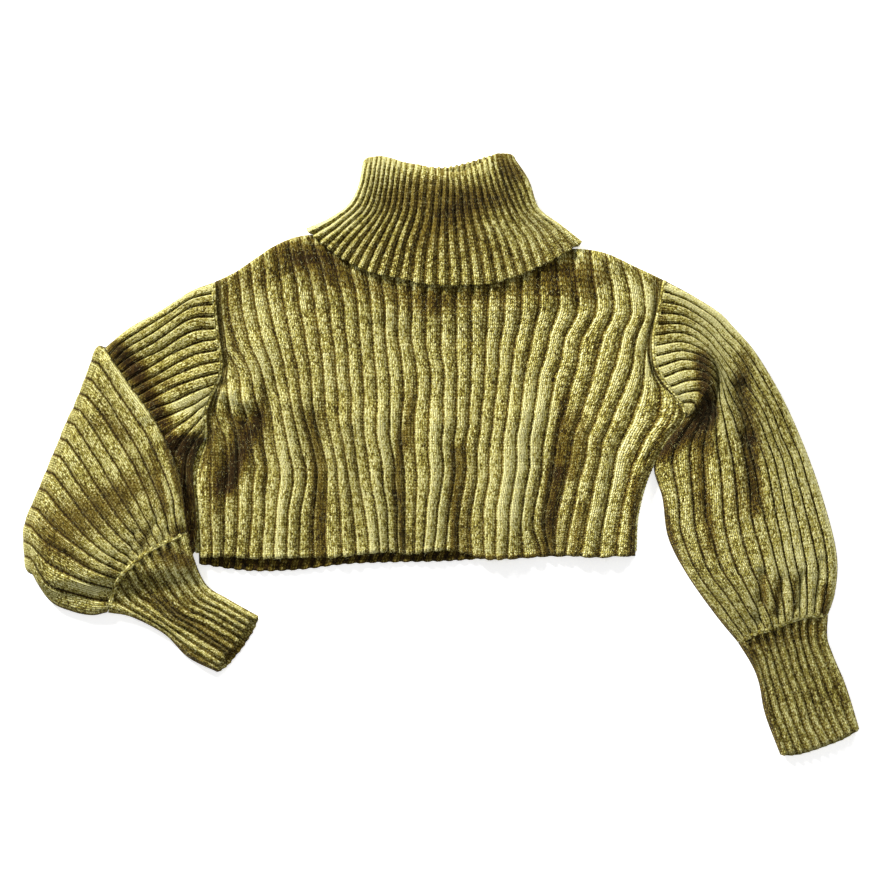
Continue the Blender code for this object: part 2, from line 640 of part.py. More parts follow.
def sleeve_left():
    """The sleeve that is folded back over itself, one tube round the fold."""
    seam = armhole(0.0, LEFT_UNDERARM_AT, -1)
    near = Tube((seam, *SLEEVE_LEFT_UPPER), no_lift, SLEEVE_LEFT_FOLDS, SLEEVE_LEFT_RIBS)
    far = Tube(SLEEVE_LEFT_LOWER, drape, NO_FOLDS, SLEEVE_LEFT_RIBS)
    u_near, near_ribs = SLEEVE_LEFT_UPPER_ROWS, SLEEVE_LEFT_UPPER_RIBS
    u_far, far_ribs = SLEEVE_LEFT_LOWER_ROWS, SLEEVE_LEFT_LOWER_RIBS
    v = rib_samples(SLEEVE_LEFT_RIBS)
    w = plain_samples(SLEEVE_LEFT_RIBS, inner_edge(near.sections, SLEEVE_LEFT_RIBS))
    v_back, w_back = v[1:-1], plain_samples(SLEEVE_LEFT_RIBS)[1:-1]

    # What lies up on the near stretch lies down on the far one
    outer = folded_back(
        ring(outer_layer(near, u_near, v, True, near_ribs),
             outer_layer(near, u_near, v_back, False, near_ribs)),
        ring(outer_layer(far, u_far, v, False, far_ribs),
             outer_layer(far, u_far, v_back, True, far_ribs)))
    inner = folded_back(
        ring(inner_layer(near, u_near, w, True), inner_layer(near, u_near, w_back, False)),
        ring(inner_layer(far, u_far, w, False), inner_layer(far, u_far, w_back, True)))
    outer_at, inner_at = [*v, *(2.0 - v_back[::-1])], [*w, *(2.0 - w_back[::-1])]
    return wall_object("sleeve_left", outer, inner, outer_at, inner_at, closed=True)


def sleeve_right():
    """The sleeve that bends down, with a tuck at its inner side."""
    seam = armhole(1.0, RIGHT_UNDERARM_AT, 1)
    tube = Tube((seam, *SLEEVE_RIGHT), no_lift, SLEEVE_RIGHT_FOLDS, SLEEVE_RIGHT_RIBS)
    return tube_object("sleeve_right", tube, SLEEVE_RIGHT_ROWS)


def cuffs():
    """A ribbed cuff for each sleeve."""
    left_seam = cuff_seam(SLEEVE_LEFT_LOWER[-1], CUFF_LEFT[0])
    right_seam = cuff_seam(SLEEVE_RIGHT[-1], CUFF_RIGHT[0])
    left = Tube((left_seam, *CUFF_LEFT), drape, NO_FOLDS, CUFF_RIBS)
    right = Tube((right_seam, *CUFF_RIGHT), no_lift, NO_FOLDS, CUFF_RIBS)
    return [tube_object("cuff_left", left, CUFF_ROWS), tube_object("cuff_right", right, CUFF_ROWS)]


def centre_on_origin(pieces):
    """Puts the origin under the middle of the whole outline, on the surface."""
    points = np.array([vertex.co for piece in pieces for vertex in piece.data.vertices])
    low, high = points.min(axis=0), points.max(axis=0)
    shift = np.array([-(low[0] + high[0]) / 2, -(low[1] + high[1]) / 2, -low[2]])
    for piece in pieces:
        for vertex in piece.data.vertices:
            vertex.co = np.array(vertex.co) + shift


def main():
    for old in list(bpy.data.objects):
        bpy.data.objects.remove(old)
    pieces = [
        panel("back_panel", BACK_HEM, 0.0, NO_FOLDS, ribbed=False),
        panel("front_panel", FRONT_HEM, PANEL_STEP, FRONT_FOLDS, ribbed=True),
        collar(),
        sleeve_left(),
        sleeve_right(),
        *cuffs(),
    ]
    centre_on_origin(pieces)


main()
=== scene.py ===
"""A cropped rib-knit sweater laid flat, dressed in ribbed, marled and slightly fuzzy wool.

All tables are in millimetres, in plan: X runs across the garment, Y up towards the neck, and Z
is the height above the surface. The pieces follow the solids' sections to a few millimetres,
with finer ribs, their wales, the linking seams, smaller folds and loose fibres. Stitches are
bump and colour. How light each place looks is worked out from its rib, its folds and tables
of light and dark places; the mesh holds it, and the material paints it in as light and shade.
"""

from collections import namedtuple

import bmesh
import bpy
import numpy as np
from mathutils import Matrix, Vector

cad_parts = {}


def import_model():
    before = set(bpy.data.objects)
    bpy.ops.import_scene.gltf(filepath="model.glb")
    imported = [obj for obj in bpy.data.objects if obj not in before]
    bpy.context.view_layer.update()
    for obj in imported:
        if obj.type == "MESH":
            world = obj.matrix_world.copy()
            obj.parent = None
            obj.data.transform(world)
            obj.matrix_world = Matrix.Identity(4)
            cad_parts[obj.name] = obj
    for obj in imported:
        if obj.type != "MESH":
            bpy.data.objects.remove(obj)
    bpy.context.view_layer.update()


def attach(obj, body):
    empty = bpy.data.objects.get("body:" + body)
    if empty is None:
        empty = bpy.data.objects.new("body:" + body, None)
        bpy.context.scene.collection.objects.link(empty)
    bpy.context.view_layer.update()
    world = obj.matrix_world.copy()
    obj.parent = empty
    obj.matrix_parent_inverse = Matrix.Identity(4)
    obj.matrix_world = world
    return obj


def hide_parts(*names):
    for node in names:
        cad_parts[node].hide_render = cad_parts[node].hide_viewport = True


MM = 0.001
TURN = 2.0 * np.pi
CENTRING = (-0.368, -0.534)  # from the tables' middle to the frame's origin

# The cloth
WALL = 3.0  # thickness of the knit between its ribs
LEAST_WALL = 1.8  # where a trough thins it
LAYER_GAP = 0.3  # between layers that lie on each other
SEAM_GAP = 0.8  # between pieces linked edge to edge, in plan
LEAST_SLIT = 0.6  # hollow between the two layers of a flattened tube
MOST_SLIT = 3.0

# A rib: its height, its number of wales, and its profile from valley to valley. Each rung is a
# share of its width, the share of its height, and how light it looks there, from 0 in the dark
# of a valley to 1 and more on a wale that faces the light
Rung = namedtuple("Rung", "at height light")
Rib = namedtuple("Rib", "height wales profile")
WIDE = Rib(3.6, 4, (
    Rung(0.00, 0.00, -0.18), Rung(0.08, 0.05, 0.12), Rung(0.14, 0.34, 0.75), Rung(0.20, 0.82, 1.45),
    Rung(0.28, 1.00, 1.20), Rung(0.36, 0.92, 0.48), Rung(0.42, 0.86, 0.54), Rung(0.48, 0.95, 1.10),
    Rung(0.56, 0.90, 0.68), Rung(0.63, 0.78, 0.42), Rung(0.71, 0.66, 0.48), Rung(0.79, 0.42, 0.28),
    Rung(0.87, 0.14, 0.14), Rung(0.94, 0.02, -0.10)))
FULL = Rib(3.2, 4, (
    Rung(0.00, 0.00, -0.55), Rung(0.06, 0.08, 0.05), Rung(0.12, 0.45, 0.75), Rung(0.18, 0.88, 1.20),
    Rung(0.26, 1.00, 1.20), Rung(0.34, 0.97, 0.75), Rung(0.39, 0.88, 0.58), Rung(0.46, 0.98, 1.10),
    Rung(0.56, 0.98, 0.90), Rung(0.62, 0.86, 0.52), Rung(0.70, 0.92, 0.80), Rung(0.79, 0.76, 0.56),
    Rung(0.87, 0.32, 0.42), Rung(0.94, 0.05, -0.25)))
NARROW = Rib(3.2, 3, (
    Rung(0.00, 0.00, 0.04), Rung(0.13, 0.04, 0.14), Rung(0.22, 0.36, 0.60), Rung(0.30, 0.82, 1.18),
    Rung(0.39, 1.00, 1.08), Rung(0.49, 0.93, 0.70), Rung(0.58, 0.96, 0.58), Rung(0.67, 0.76, 0.42),
    Rung(0.77, 0.32, 0.24), Rung(0.87, 0.04, 0.08)))
COURSE = 3.4  # length of one stitch

# Ribs on the upper side of each piece
PANEL_RIBS = 35
COLLAR_RIBS = 28
SLEEVE_LEFT_RIBS = 14
SLEEVE_RIGHT_RIBS = 13
CUFF_RIBS = 10

# Levels where the folded collar lies round the body
COLLAR_BACK_LEVEL = WALL + 2 * LAYER_GAP  # of the panels over the back of the turnover
PANEL_STEP = WALL + LAYER_GAP  # from the back panel to the front one
TURNOVER_UNDER = 12.8  # underside of the turnover's front, above the front panel's ribs
TURNOVER_BULGE = 1.6  # how much higher it is at the middle of its height
TURNOVER_INNER_RADIUS = 1.6 * WALL
COLLAR_FOLD_OUTWARDS = (0.0, 1.0, 0.0)  # the way its top fold faces

# The turnover's loose edge is an arc, and the panels ramp up on to its back half
TURNOVER_ARC_CENTRE = (5, 418)
LIFT_FULL_RADIUS = 268
LIFT_END_RADIUS = 302

UPPER_STRETCH_LOFT = 8.0  # height of the left sleeve's upper stretch
COVERED_RIBS = 2.2  # room for its ribs
UPPER_STRETCH_TOP = UPPER_STRETCH_LOFT + COVERED_RIBS + 2 * LAYER_GAP
DRAPE_LENGTH = 26.0  # in which the lower stretch comes down off the upper stretch's edge
DRAPE_LINE = ((-256, -111), (-432, -131))  # lower edge of the upper stretch, hidden by the lower
BACK_FOLD_OUTWARDS = (-0.93, 0.36, 0.0)  # the way the left sleeve's fold faces

EDGE_RADIUS = 4.0  # in which a panel's thickness rounds off at its sides
TUBE_RADIUS = 9.0  # the same for a tube's loft
LEAST_EDGE = 0.4  # share of a panel's thickness left at its rounded edge

# `at` is the share of the way along the piece. The points run across it, evenly spaced in
# ribs. A tube's points hold a third number, its height over what it lies on.
Section = namedtuple("Section", "name at points")
# How many of a panel's ribs have run out at its left and right edge, at a share of its length
LostRibs = namedtuple("LostRibs", "at left right")
# A soft ridge (height above 0) or trough (below 0) from `start` to `end`
Fold = namedtuple("Fold", "name start end width height pull")

BODY = (
    Section("shoulder and neckline", 0.00, (
        (-238, 181), (-215, 192), (-191, 208), (-166, 223), (-143, 230), (-117, 228),
        (-83, 215), (-52, 209), (-22, 204), (10, 201), (41, 201), (73, 205),
        (105, 213), (138, 216), (170, 212), (202, 198), (234, 183))),
    Section("upper armhole", 0.10, (
        (-237, 150), (-212, 158), (-187, 165), (-159, 170), (-130, 173), (-102, 171),
        (-75, 168), (-48, 165), (-21, 163), (8, 163), (38, 163), (70, 163), (103, 163),
        (140, 161), (175, 159), (208, 156), (229, 154))),
    Section("armhole", 0.22, (
        (-233, 116), (-207, 118), (-180, 119), (-153, 120), (-126, 121), (-100, 121),
        (-74, 120), (-49, 119), (-23, 119), (6, 119), (35, 120), (64, 120), (94, 121),
        (127, 122), (161, 122), (198, 123), (223, 123))),
    Section("lower armhole", 0.34, (
        (-231, 87), (-206, 84), (-181, 82), (-156, 80), (-130, 79), (-103, 78), (-76, 78),
        (-48, 78), (-20, 79), (8, 80), (36, 80), (63, 80), (92, 81), (124, 82), (164, 84),
        (201, 86), (227, 88))),
    Section("above the underarm", 0.47, (
        (-247, 45), (-214, 44), (-183, 42), (-159, 40), (-136, 39), (-109, 38), (-82, 38),
        (-54, 38), (-25, 39), (5, 40), (34, 40), (61, 40), (90, 41), (123, 42), (160, 42),
        (198, 42), (256, 43))),
    Section("underarm", 0.56, (
        (-247, 17), (-217, 16), (-188, 16), (-161, 16), (-135, 16), (-110, 16), (-86, 16),
        (-59, 16), (-31, 16), (-1, 16), (28, 16), (55, 16), (84, 16), (115, 16), (149, 17),
        (186, 18), (238, 18))),
    Section("waist", 0.68, (
        (-257, -18), (-223, -19), (-191, -20), (-161, -21), (-133, -21), (-109, -21), (-85, -21),
        (-58, -21), (-31, -21), (-3, -21), (24, -21), (51, -21), (80, -21), (110, -20), (142, -19),
        (176, -18), (219, -16))),
    Section("above the hem", 0.83, (
        (-255, -63), (-194, -64), (-138, -65), (-77, -65), (-32, -65), (17, -65), (74, -65),
        (131, -63), (206, -60))),
)
FRONT_HEM = Section("front hem", 1.00, (
    (-253, -107), (-226, -107), (-196, -108), (-168, -108), (-138, -107), (-106, -107),
    (-74, -103), (-53, -101), (-32, -104), (-11, -101), (16, -101), (47, -110), (72, -109),
    (110, -105), (126, -105), (160, -107), (203, -106)))
BACK_HEM = Section("back hem", 1.00, (
    (-254, -114), (-202, -121), (-151, -120), (-99, -114), (-47, -112),
    (3, -111), (55, -108), (128, -106), (204, -106)))
LEFT_EDGE, RIGHT_EDGE = 0.0, 1.0  # shares across the panels
LEFT_UNDERARM_AT = 0.56
RIGHT_UNDERARM_AT = 0.47
RIGHT_SEAM_FROM = RIGHT_UNDERARM_AT - 0.02  # the side seam starts just above the underarm
# The panels' outer ribs run out at the armholes, where the knit gets narrower
LOST_RIBS = (
    LostRibs(0.00, 4.6, 2.0),
    LostRibs(0.22, 4.3, 2.2),
    LostRibs(0.34, 3.2, 1.4),
    LostRibs(0.47, 2.0, 0.0),
    LostRibs(0.56, 1.3, 0.0),
    LostRibs(0.68, 0.6, 0.0),
    LostRibs(0.83, 0.0, 0.0),
)
LOST_STRIP = 0.02  # share of the panel's width in which they run out, at most
STRIP_SHARES = (1.0, 0.5)  # and at most this share of their own width, left and right

TURNOVER = (
    Section("top fold", 0.00, (
        (-82, 306), (-59, 308), (-33, 301), (1, 298), (30, 303), (56, 311), (78, 310))),
    Section("below the fold", 0.25, (
        (-87, 281), (-64, 278), (-36, 276), (0, 275), (34, 275), (64, 278), (93, 286))),
    Section("neck", 0.45, (
        (-96, 264), (-71, 254), (-41, 250), (-2, 245), (39, 247), (75, 253), (102, 260))),
    Section("spread", 0.70, (
        (-114, 250), (-92, 230), (-56, 215), (-4, 208), (48, 213), (91, 227), (126, 241))),
    Section("loose edge", 1.00, (
        (-142, 237), (-108, 208), (-64, 189), (-5, 178), (54, 180), (104, 197), (149, 223))),
)
NECKLINE = (0.35, 0.74)  # the stretch of the panels' top edge that the collar stands on
STAND_INSET = 0.026  # share of the collar's width by which its stand lies inside the turnover
INSIDE_INSET = 0.02  # the same for the wall's inside within its outside

SLEEVE_LEFT_FOLD = (
    (-352, 113, 7), (-369, 65, 7), (-388, 22, 7), (-408, -27, 7), (-428, -78, 7), (-427, -125, 7))
SLEEVE_LEFT_UPPER = (
    Section("below the shoulder", 0.28, (
        (-264, 171, 8), (-265, 144, 8), (-262, 108, 8), (-264, 72, 9), (-274, 28, 10), (-259, -16, 7))),
    Section("upper arm", 0.52, (
        (-295, 151, 8), (-297, 123, 8), (-300, 87, 8), (-308, 52, 8), (-306, 3, 8), (-258, -101, 7))),
    Section("towards the fold", 0.76, (
        (-326, 134, 8), (-331, 102, 8), (-345, 60, 8), (-358, 20, 8), (-368, -37, 8), (-312, -110, 7))),
    Section("fold", 1.00, SLEEVE_LEFT_FOLD),
)
SLEEVE_LEFT_LOWER = (
    Section("fold", 0.00, SLEEVE_LEFT_FOLD),
    Section("below the fold", 0.25, (
        (-329, 79, 8), (-345, 32, 9), (-366, -10, 9), (-390, -49, 9), (-409, -98, 9), (-410, -153, 8))),
    Section("fullest", 0.50, (
        (-297, 33, 8), (-320, -10, 10), (-345, -44, 11), (-369, -75, 11), (-386, -110, 10),
        (-387, -164, 8))),
    Section("gather", 0.75, (
        (-274, -20, 8), (-301, -52, 11), (-321, -76, 12), (-345, -98, 11), (-365, -122, 10),
        (-366, -168, 8))),
    Section("cuff seam", 1.00, (
        (-265, -80, 8), (-287, -90, 10), (-306, -100, 10), (-323, -114, 10), (-339, -132, 9),
        (-350, -165, 8))),
)
CUFF_LEFT = (
    Section("heel", 0.28, (
        (-258, -108, 7), (-272, -122, 7), (-289, -131, 7), (-306, -144, 7), (-318, -158, 7),
        (-322, -171, 7))),
    Section("bend", 0.50, (
        (-246, -136, 7), (-256, -148, 7), (-269, -159, 7), (-280, -169, 7), (-286, -178, 7),
        (-290, -188, 7))),
    Section("wrist", 0.72, (
        (-223, -151, 7), (-231, -163, 7), (-240, -174, 7), (-250, -186, 7), (-259, -197, 7),
        (-267, -211, 7))),
    Section("mouth", 1.00, (
        (-191, -169, 7), (-196, -183, 7), (-204, -196, 7), (-213, -209, 7), (-223, -220, 7),
        (-234, -228, 7))),
)
SLEEVE_RIGHT = (
    Section("crown", 0.10, (
        (266, 166, 9), (257, 148, 10), (254, 125, 11), (254, 102, 13), (259, 74, 15), (257, 43, 12))),
    Section("tuck edge", 0.20, (
        (297, 145, 10), (287, 127, 11), (278, 112, 13), (280, 93, 17), (278, 70, 18), (257, 40, 14))),
    Section("tuck foot", 0.24, (
        (306, 135, 10), (293, 119, 12), (285, 104, 13), (287, 87, 8), (285, 60, 7), (255, 37, 7))),
    Section("below the tuck", 0.33, (
        (328, 110, 10), (312, 96, 13), (299, 79, 14), (293, 60, 12), (277, 35, 7), (241, 21, 7))),
    Section("elbow", 0.43, (
        (356, 64, 10), (337, 52, 13), (319, 42, 13), (300, 29, 14), (270, 11, 9), (223.5, -9, 7))),
    Section("forearm", 0.54, (
        (381, 9, 10), (358, 3, 13), (337, -5, 12), (309, -16, 14), (272, -37, 11), (232, -45, 8))),
    Section("full", 0.66, (
        (402, -51, 10), (374, -58, 13), (348, -63, 14), (314, -68, 14), (275, -79, 12), (238, -86, 8))),
    Section("fullest", 0.78, (
        (415, -105, 10), (385, -110, 14), (359, -112, 15), (327, -117, 15), (290, -123, 13),
        (257, -124, 9))),
    Section("gather", 0.90, (
        (413, -145, 9), (387, -148, 12), (366, -150, 13), (341, -154, 13), (316, -162, 12),
        (288, -168, 9))),
    Section("cuff seam", 1.00, (
        (406, -167, 8), (385, -168, 10), (366, -173, 10), (348, -181, 10), (330, -186, 9), (311, -196, 8))),
)
CUFF_RIGHT = (
    Section("below the seam", 0.14, (
        (405, -187, 7), (385, -190, 7), (370, -195, 7), (353, -202, 7), (338, -208, 7), (323, -215, 7))),
    Section("wrist", 0.40, (
        (411, -209, 7), (393, -215, 7), (377, -222, 7), (361, -227, 7), (346, -232, 7), (333, -238, 7))),
    Section("hand", 0.66, (
        (424, -240, 7), (404, -247, 7), (388, -253, 7), (372, -258, 7), (355, -264, 7), (339, -269, 7))),
    Section("mouth", 1.00, (
        (439, -288, 7), (425, -296, 7), (408, -303, 7), (390, -310, 7), (373, -315, 7), (356, -315, 7))),
)
ARMHOLE_LOFT = (8, 8.5, 9, 9.5, 9.5, 8)  # a sleeve's height at its seam, from shoulder to underarm
ARMHOLE_POINTS = 21
CUFF_SEAM_LOFT = (7, 8, 8, 8, 8, 7)  # a cuff's height at its seam

# `pull` draws the ribs towards a fold's line, in plan, by up to about half its value, or away
# from it where it is below 0
FRONT_FOLDS = (
    Fold("ridge below the left shoulder", (-188, 116), (-201, 58), 13, 3.0, 0),
    Fold("pucker at the left armhole", (-228, 66), (-207, 56), 8, 6.0, 0),
    Fold("knot at the left armhole", (-226, 85), (-215, 68), 5, 5.0, 0),
    Fold("left side ridge", (-240, 10), (-240, -112), 9, 3.5, 0),
    Fold("ridge 1", (-159, 52), (-165, -112), 16, 4.5, -1),
    Fold("ridge 2", (-101, 37), (-108, -112), 14, 3.5, -1),
    Fold("ridge 3", (-66, 42), (-72, -112), 13, 4.0, -1),
    Fold("ridge 4", (-9, 32), (-14, -112), 15, 5.0, -1),
    Fold("ridge 5", (75, 37), (58, -112), 21, 6.0, -1),
    Fold("ridge 6", (167, 26), (148, -112), 21, 4.5, -1),
    Fold("right side ridge", (209, 16), (188, -112), 12, 3.0, 0),
    Fold("furrow at the right side", (243, 42), (214, -6), 2.2, -1.6, 0),
    Fold("pocket at the left side", (-213, 28), (-218, -30), 9, -3.5, 4),
    Fold("trough 1", (-183, 62), (-186, -60), 7, -2.0, 1),
    Fold("trough 2", (-133, 45), (-127, -112), 8, -2.6, 2),
    Fold("trough 3", (-43, 30), (-42, -112), 8, -3.0, 2),
    Fold("trough 4", (14, 20), (20, -112), 8, -2.6, 1),
    Fold("trough 5", (118, 35), (107, -112), 10, -3.2, 2),
    Fold("trough below the left wing", (-150, 205), (-128, 120), 10, -1.6, 0),
    Fold("trough below the right wing", (128, 195), (150, 130), 12, -1.2, 0),
)
SLEEVE_LEFT_FOLDS = (
    Fold("ridge along the shoulder", (-300, 128), (-246, 148), 12, 2.0, 0),
    Fold("hollow below it", (-340, 98), (-262, 112), 8, -1.6, 2),
    Fold("ridge above the underarm", (-300, 48), (-246, 86), 12, 2.0, 0),
    Fold("hollow above the roll", (-310, 56), (-256, 50), 7, -1.5, 2),
    Fold("roll at the underarm", (-296, 16), (-254, 26), 9, 2.5, 0),
)
LOWER_STRETCH_FOLDS = (
    Fold("rolled edge", (-345, 98), (-310, 40), 8, 3.5, 0),
    Fold("rolled edge, on", (-301, 22), (-284, -14), 8, 3.5, 0),
    Fold("rolled edge, to the cuff", (-280, -26), (-272, -66), 8, 3.5, 0),
    Fold("hollow beside the rolled edge", (-352, 60), (-300, -40), 10, -1.2, 3),
    Fold("gather 1", (-296, -66), (-312, -98), 5, -2.2, 3),
    Fold("gather 2", (-318, -82), (-328, -112), 5, -2.2, 3),
    Fold("gather 3", (-280, -58), (-290, -86), 5, -1.8, 2),
    Fold("gather 4", (-338, -104), (-345, -128), 5, -1.8, 2),
)
SLEEVE_RIGHT_FOLDS = (
    Fold("trough below the tuck", (312, 70), (320, 16), 9, -5.0, 4),
    Fold("the same trough, on", (320, 16), (327, -42), 9, -5.0, 4),
    Fold("inner trough", (272, 5), (274, -68), 7, -3.5, 3),
    Fold("gather 1", (335, -123), (332, -175), 5, -4.2, 3),
    Fold("gather 2", (356, -131), (352, -167), 5, -4.2, 3),
    Fold("gather 3", (377, -126), (374, -159), 5, -4.0, 3),
    Fold("gather 4", (398, -112), (392, -154), 5, -2.5, 2),
)
CUFF_LEFT_FOLDS = (
    Fold("upper lobe", (-268, -132), (-214, -176), 9, 2.5, 0),
    Fold("fold along the cuff", (-300, -150), (-222, -206), 7, -3.0, 3),
    Fold("lower lobe", (-300, -172), (-240, -216), 8, 2.0, 0),
)
NO_FOLDS = ()

# Rows of points along each piece
PANEL_ROWS = 150
TURNOVER_ROWS = 66
STAND_ROWS = 14
UPPER_STRETCH_ROWS = 70
LOWER_STRETCH_ROWS = 84
SLEEVE_RIGHT_ROWS = 150
CUFF_ROWS = 62
TURN_ROWS = 11

EDGE_ROWS = (0.5, 0.2)  # two more by a rounded edge, these shares of a row's step from it
SEAM_POINTS = 24
CHANNELS = 6  # numbers that a point of a skin holds
LAP = 2.0  # a ring's shares run from 0 to 1 over its front, and back to 2 along its back
TINY = 1e-9

# Smaller forms of the knit
LOST_FADE = 0.3  # in this many ribs a rib sinks where it runs out at an edge
KEPT_EDGE = 14.0  # a piece's plan is kept this near to its edges
WANDER = 0.8  # how far the ribs wander in plan
WANDER_LENGTH = 46.0
UNEVEN_HEIGHT = 0.35
UNEVEN_LENGTH = 17.0
COLLAR_UNEVEN_LENGTH = 15.0
WAVES = 9  # in an uneven field
SHORTEST_WAVE = 0.7  # share of the field's own length
WAVE_SPREAD = 0.8  # how much longer the longest is
SCALLOP = 1.8  # how far a loose edge runs out at a rib, against its valley
PANEL_SCALLOP_REACH = 5.0
TUBE_SCALLOP_REACH = 4.0
HEM_RADIUS = 3.0  # in which a loose edge rounds off
HEM_START = 0.4  # how far in on that round its very edge lies, at a hem
COLLAR_START = 0.6  # and at the collar's loose edge
MOUTH_START = 1.2  # and at a cuff's mouth
HEM_LIP = 0.9  # the cast-off edge stands a little proud
HEM_LIP_AT = 3.2  # in from the edge
HEM_LIP_WIDTH = 2.2
BACK_HEM_RIBS = 1.6  # height of the back's ribs at its hem
BACK_HEM_SHOWN = 1.0  # how far in they are at that height
BACK_HEM_FADE = 4.0  # and in how much more they end
MOUTH_REACH = 26.0  # how far in a cuff's upper layer is drawn back
MOUTH_CORNER = 12.0  # and how near to its sides
# How far the front of the collar's top fold lies below the back of it, at shares across it
COLLAR_DIP = ((0.0, 0.0), (0.38, 0.0), (0.5, 5.0), (0.62, 9.0), (0.74, 6.0), (0.86, 0.0), (1.0, 0.0))
DIP_REACH = 0.4  # share of the turnover's height in which that ends
# How much of its ribs' height a piece has, at shares along it: the collar's turnover from
# its top fold down, and the left sleeve's two stretches down the sleeve
FOLD_RIBS = ((0.0, 0.15), (0.05, 0.6), (0.15, 1.0))
UPPER_STRETCH_RIBS = ((0.0, 1.0), (0.8, 1.0), (1.0, 0.0))
LOWER_STRETCH_RIBS = ((0.0, 0.25), (0.03, 0.8), (0.07, 1.0), (0.95, 1.0), (1.0, 0.7))
STAND_RIBS = 0.8  # the same for the collar's stand, just inside the top fold
STAND_SHOWN = 0.16  # share of the stand's height in which they end
SHARP_ANGLE = 70  # degrees between faces that are shaded apart
PANEL_LENGTH = 330.0
COLLAR_LENGTH = 125.0
SLEEVE_COURSES = 112
CUFF_COURSES = 44

# Seeds of the uneven fields, in plan and in height
FRONT_SEED = 11
FRONT_HEIGHT_SEED = 21
COLLAR_SEED = 31
COLLAR_HEIGHT_SEED = 33
HEIGHT_SEED_STEP = 5  # from a tube's own seed to the seed of its heights

# Where little or much light falls: round a line from `start` to `end`, the cloth looks darker
# by a share of a rib's own contrast, or lighter where the share is below 0
Shade = namedtuple("Shade", "name start end width darker")
FRONT_SHADES = (
    Shade("furrow at the right side", (243, 44), (212, -10), 1.8, 1.2),
    Shade("corner below the left wing", (-150, 202), (-126, 212), 8, 0.7),
    Shade("hollow of the right shoulder", (176, 182), (184, 172), 7, 0.7),
    Shade("right armhole, lower part", (221, 104), (228, 80), 6, -1.2),
    Shade("column right of the middle", (86, 42), (87, -20), 8, -0.6),
    Shade("low, right of the middle", (126, -16), (113, -75), 7, 0.5),
    Shade("pocket at the left side", (-192, 38), (-223, -34), 9, 1.8),
    Shade("pocket, its left part", (-212, 24), (-230, -34), 11, 1.2),
    Shade("fold above the pocket", (-185, 76), (-188, 44), 4, 0.8),
    Shade("below the ledge", (-228, 44), (-208, 34), 5, 0.9),
    Shade("left side", (-238, 26), (-235, -60), 5, 1.0),
    Shade("rolled edge at the left side", (-250, 14), (-256, -40), 4, -1.5),
    Shade("ledge at the left armhole", (-240, 66), (-216, 60), 8, -2.0),
    Shade("left armhole's edge", (-233, 120), (-232, 84), 5, -0.7),
    Shade("beside the left armhole", (-222, 166), (-214, 112), 6, 0.6),
    Shade("upper left", (-178, 140), (-172, 62), 14, -0.35),
    Shade("upper middle", (0, 104), (62, 82), 26, -0.35),
    Shade("left of the middle", (-78, 152), (-76, 80), 8, -0.35),
    Shade("left of the middle, on", (-56, 92), (-24, 70), 12, -0.5),
    Shade("left of ridge 1", (-192, 50), (-182, -36), 7, 0.5),
    Shade("between ridges 1 and 2", (-150, 66), (-144, 30), 6, 0.5),
    Shade("trough 2", (-134, 40), (-130, -16), 9, 0.9),
    Shade("trough 2, on", (-128, -30), (-128, -105), 9, 0.9),
    Shade("between ridges 2 and 3", (-97, 40), (-96, -45), 8, 0.3),
    Shade("above trough 3", (-31, 74), (-38, 10), 7, 0.8),
    Shade("trough 3", (-44, 20), (-47, -40), 6, 0.9),
    Shade("trough 3, on", (-45, -44), (-39, -95), 7, 0.9),
    Shade("trough 4", (15, 4), (14, -95), 7, 1.1),
    Shade("beside trough 4", (27, 0), (28, -100), 7, 0.5),
    Shade("trough 5", (128, 56), (122, -16), 9, 1.2),
    Shade("trough 5, on", (118, -24), (112, -98), 11, 1.2),
    Shade("right of trough 5", (146, 40), (138, -20), 9, 0.9),
    Shade("right of trough 5, on", (146, -54), (138, -100), 9, 0.8),
    Shade("inner right", (162, 22), (156, -24), 5, 0.6),
    Shade("ridge 1", (-160, 16), (-172, -108), 9, -0.9),
    Shade("ridge 3", (-56, 60), (-74, -105), 11, -1.1),
    Shade("ridge 4", (-2, 50), (-14, -105), 10, -1.0),
    Shade("ridge 5", (98, 44), (72, -60), 17, -1.3),
    Shade("ridge above ridge 5", (124, 140), (104, 44), 17, -1.0),
    Shade("ridge at the right side", (204, 36), (166, -60), 10, -1.2),
    Shade("below the right shoulder", (190, 152), (200, 60), 22, -0.9),
    Shade("right shoulder", (184, 178), (226, 160), 12, -1.9),
    Shade("right armhole's edge", (222, 108), (224, 62), 8, -1.2),
    Shade("below the left wing", (-164, 212), (-114, 200), 15, 1.4),
    Shade("below the collar, left", (-118, 184), (-10, 160), 14, 0.75),
    Shade("below the collar, right", (-10, 160), (108, 180), 14, 0.75),
    Shade("below the right wing", (112, 196), (162, 184), 14, 1.1),
    Shade("below the right wing, on", (118, 172), (160, 166), 8, 0.6),
    Shade("left shoulder", (-218, 178), (-172, 190), 12, 0.6),
    Shade("beside the right armhole", (210, 146), (200, 116), 4, 0.8),
    Shade("right side", (203, -24), (199, -105), 6, 1.2),
    Shade("hem below ridge 1", (-172, -102), (-160, -104), 8, -0.8),
    Shade("hem below ridge 3", (-88, -99), (-74, -103), 8, -0.8),
    Shade("hem's right half", (20, -107), (200, -110), 4, 1.4),
)
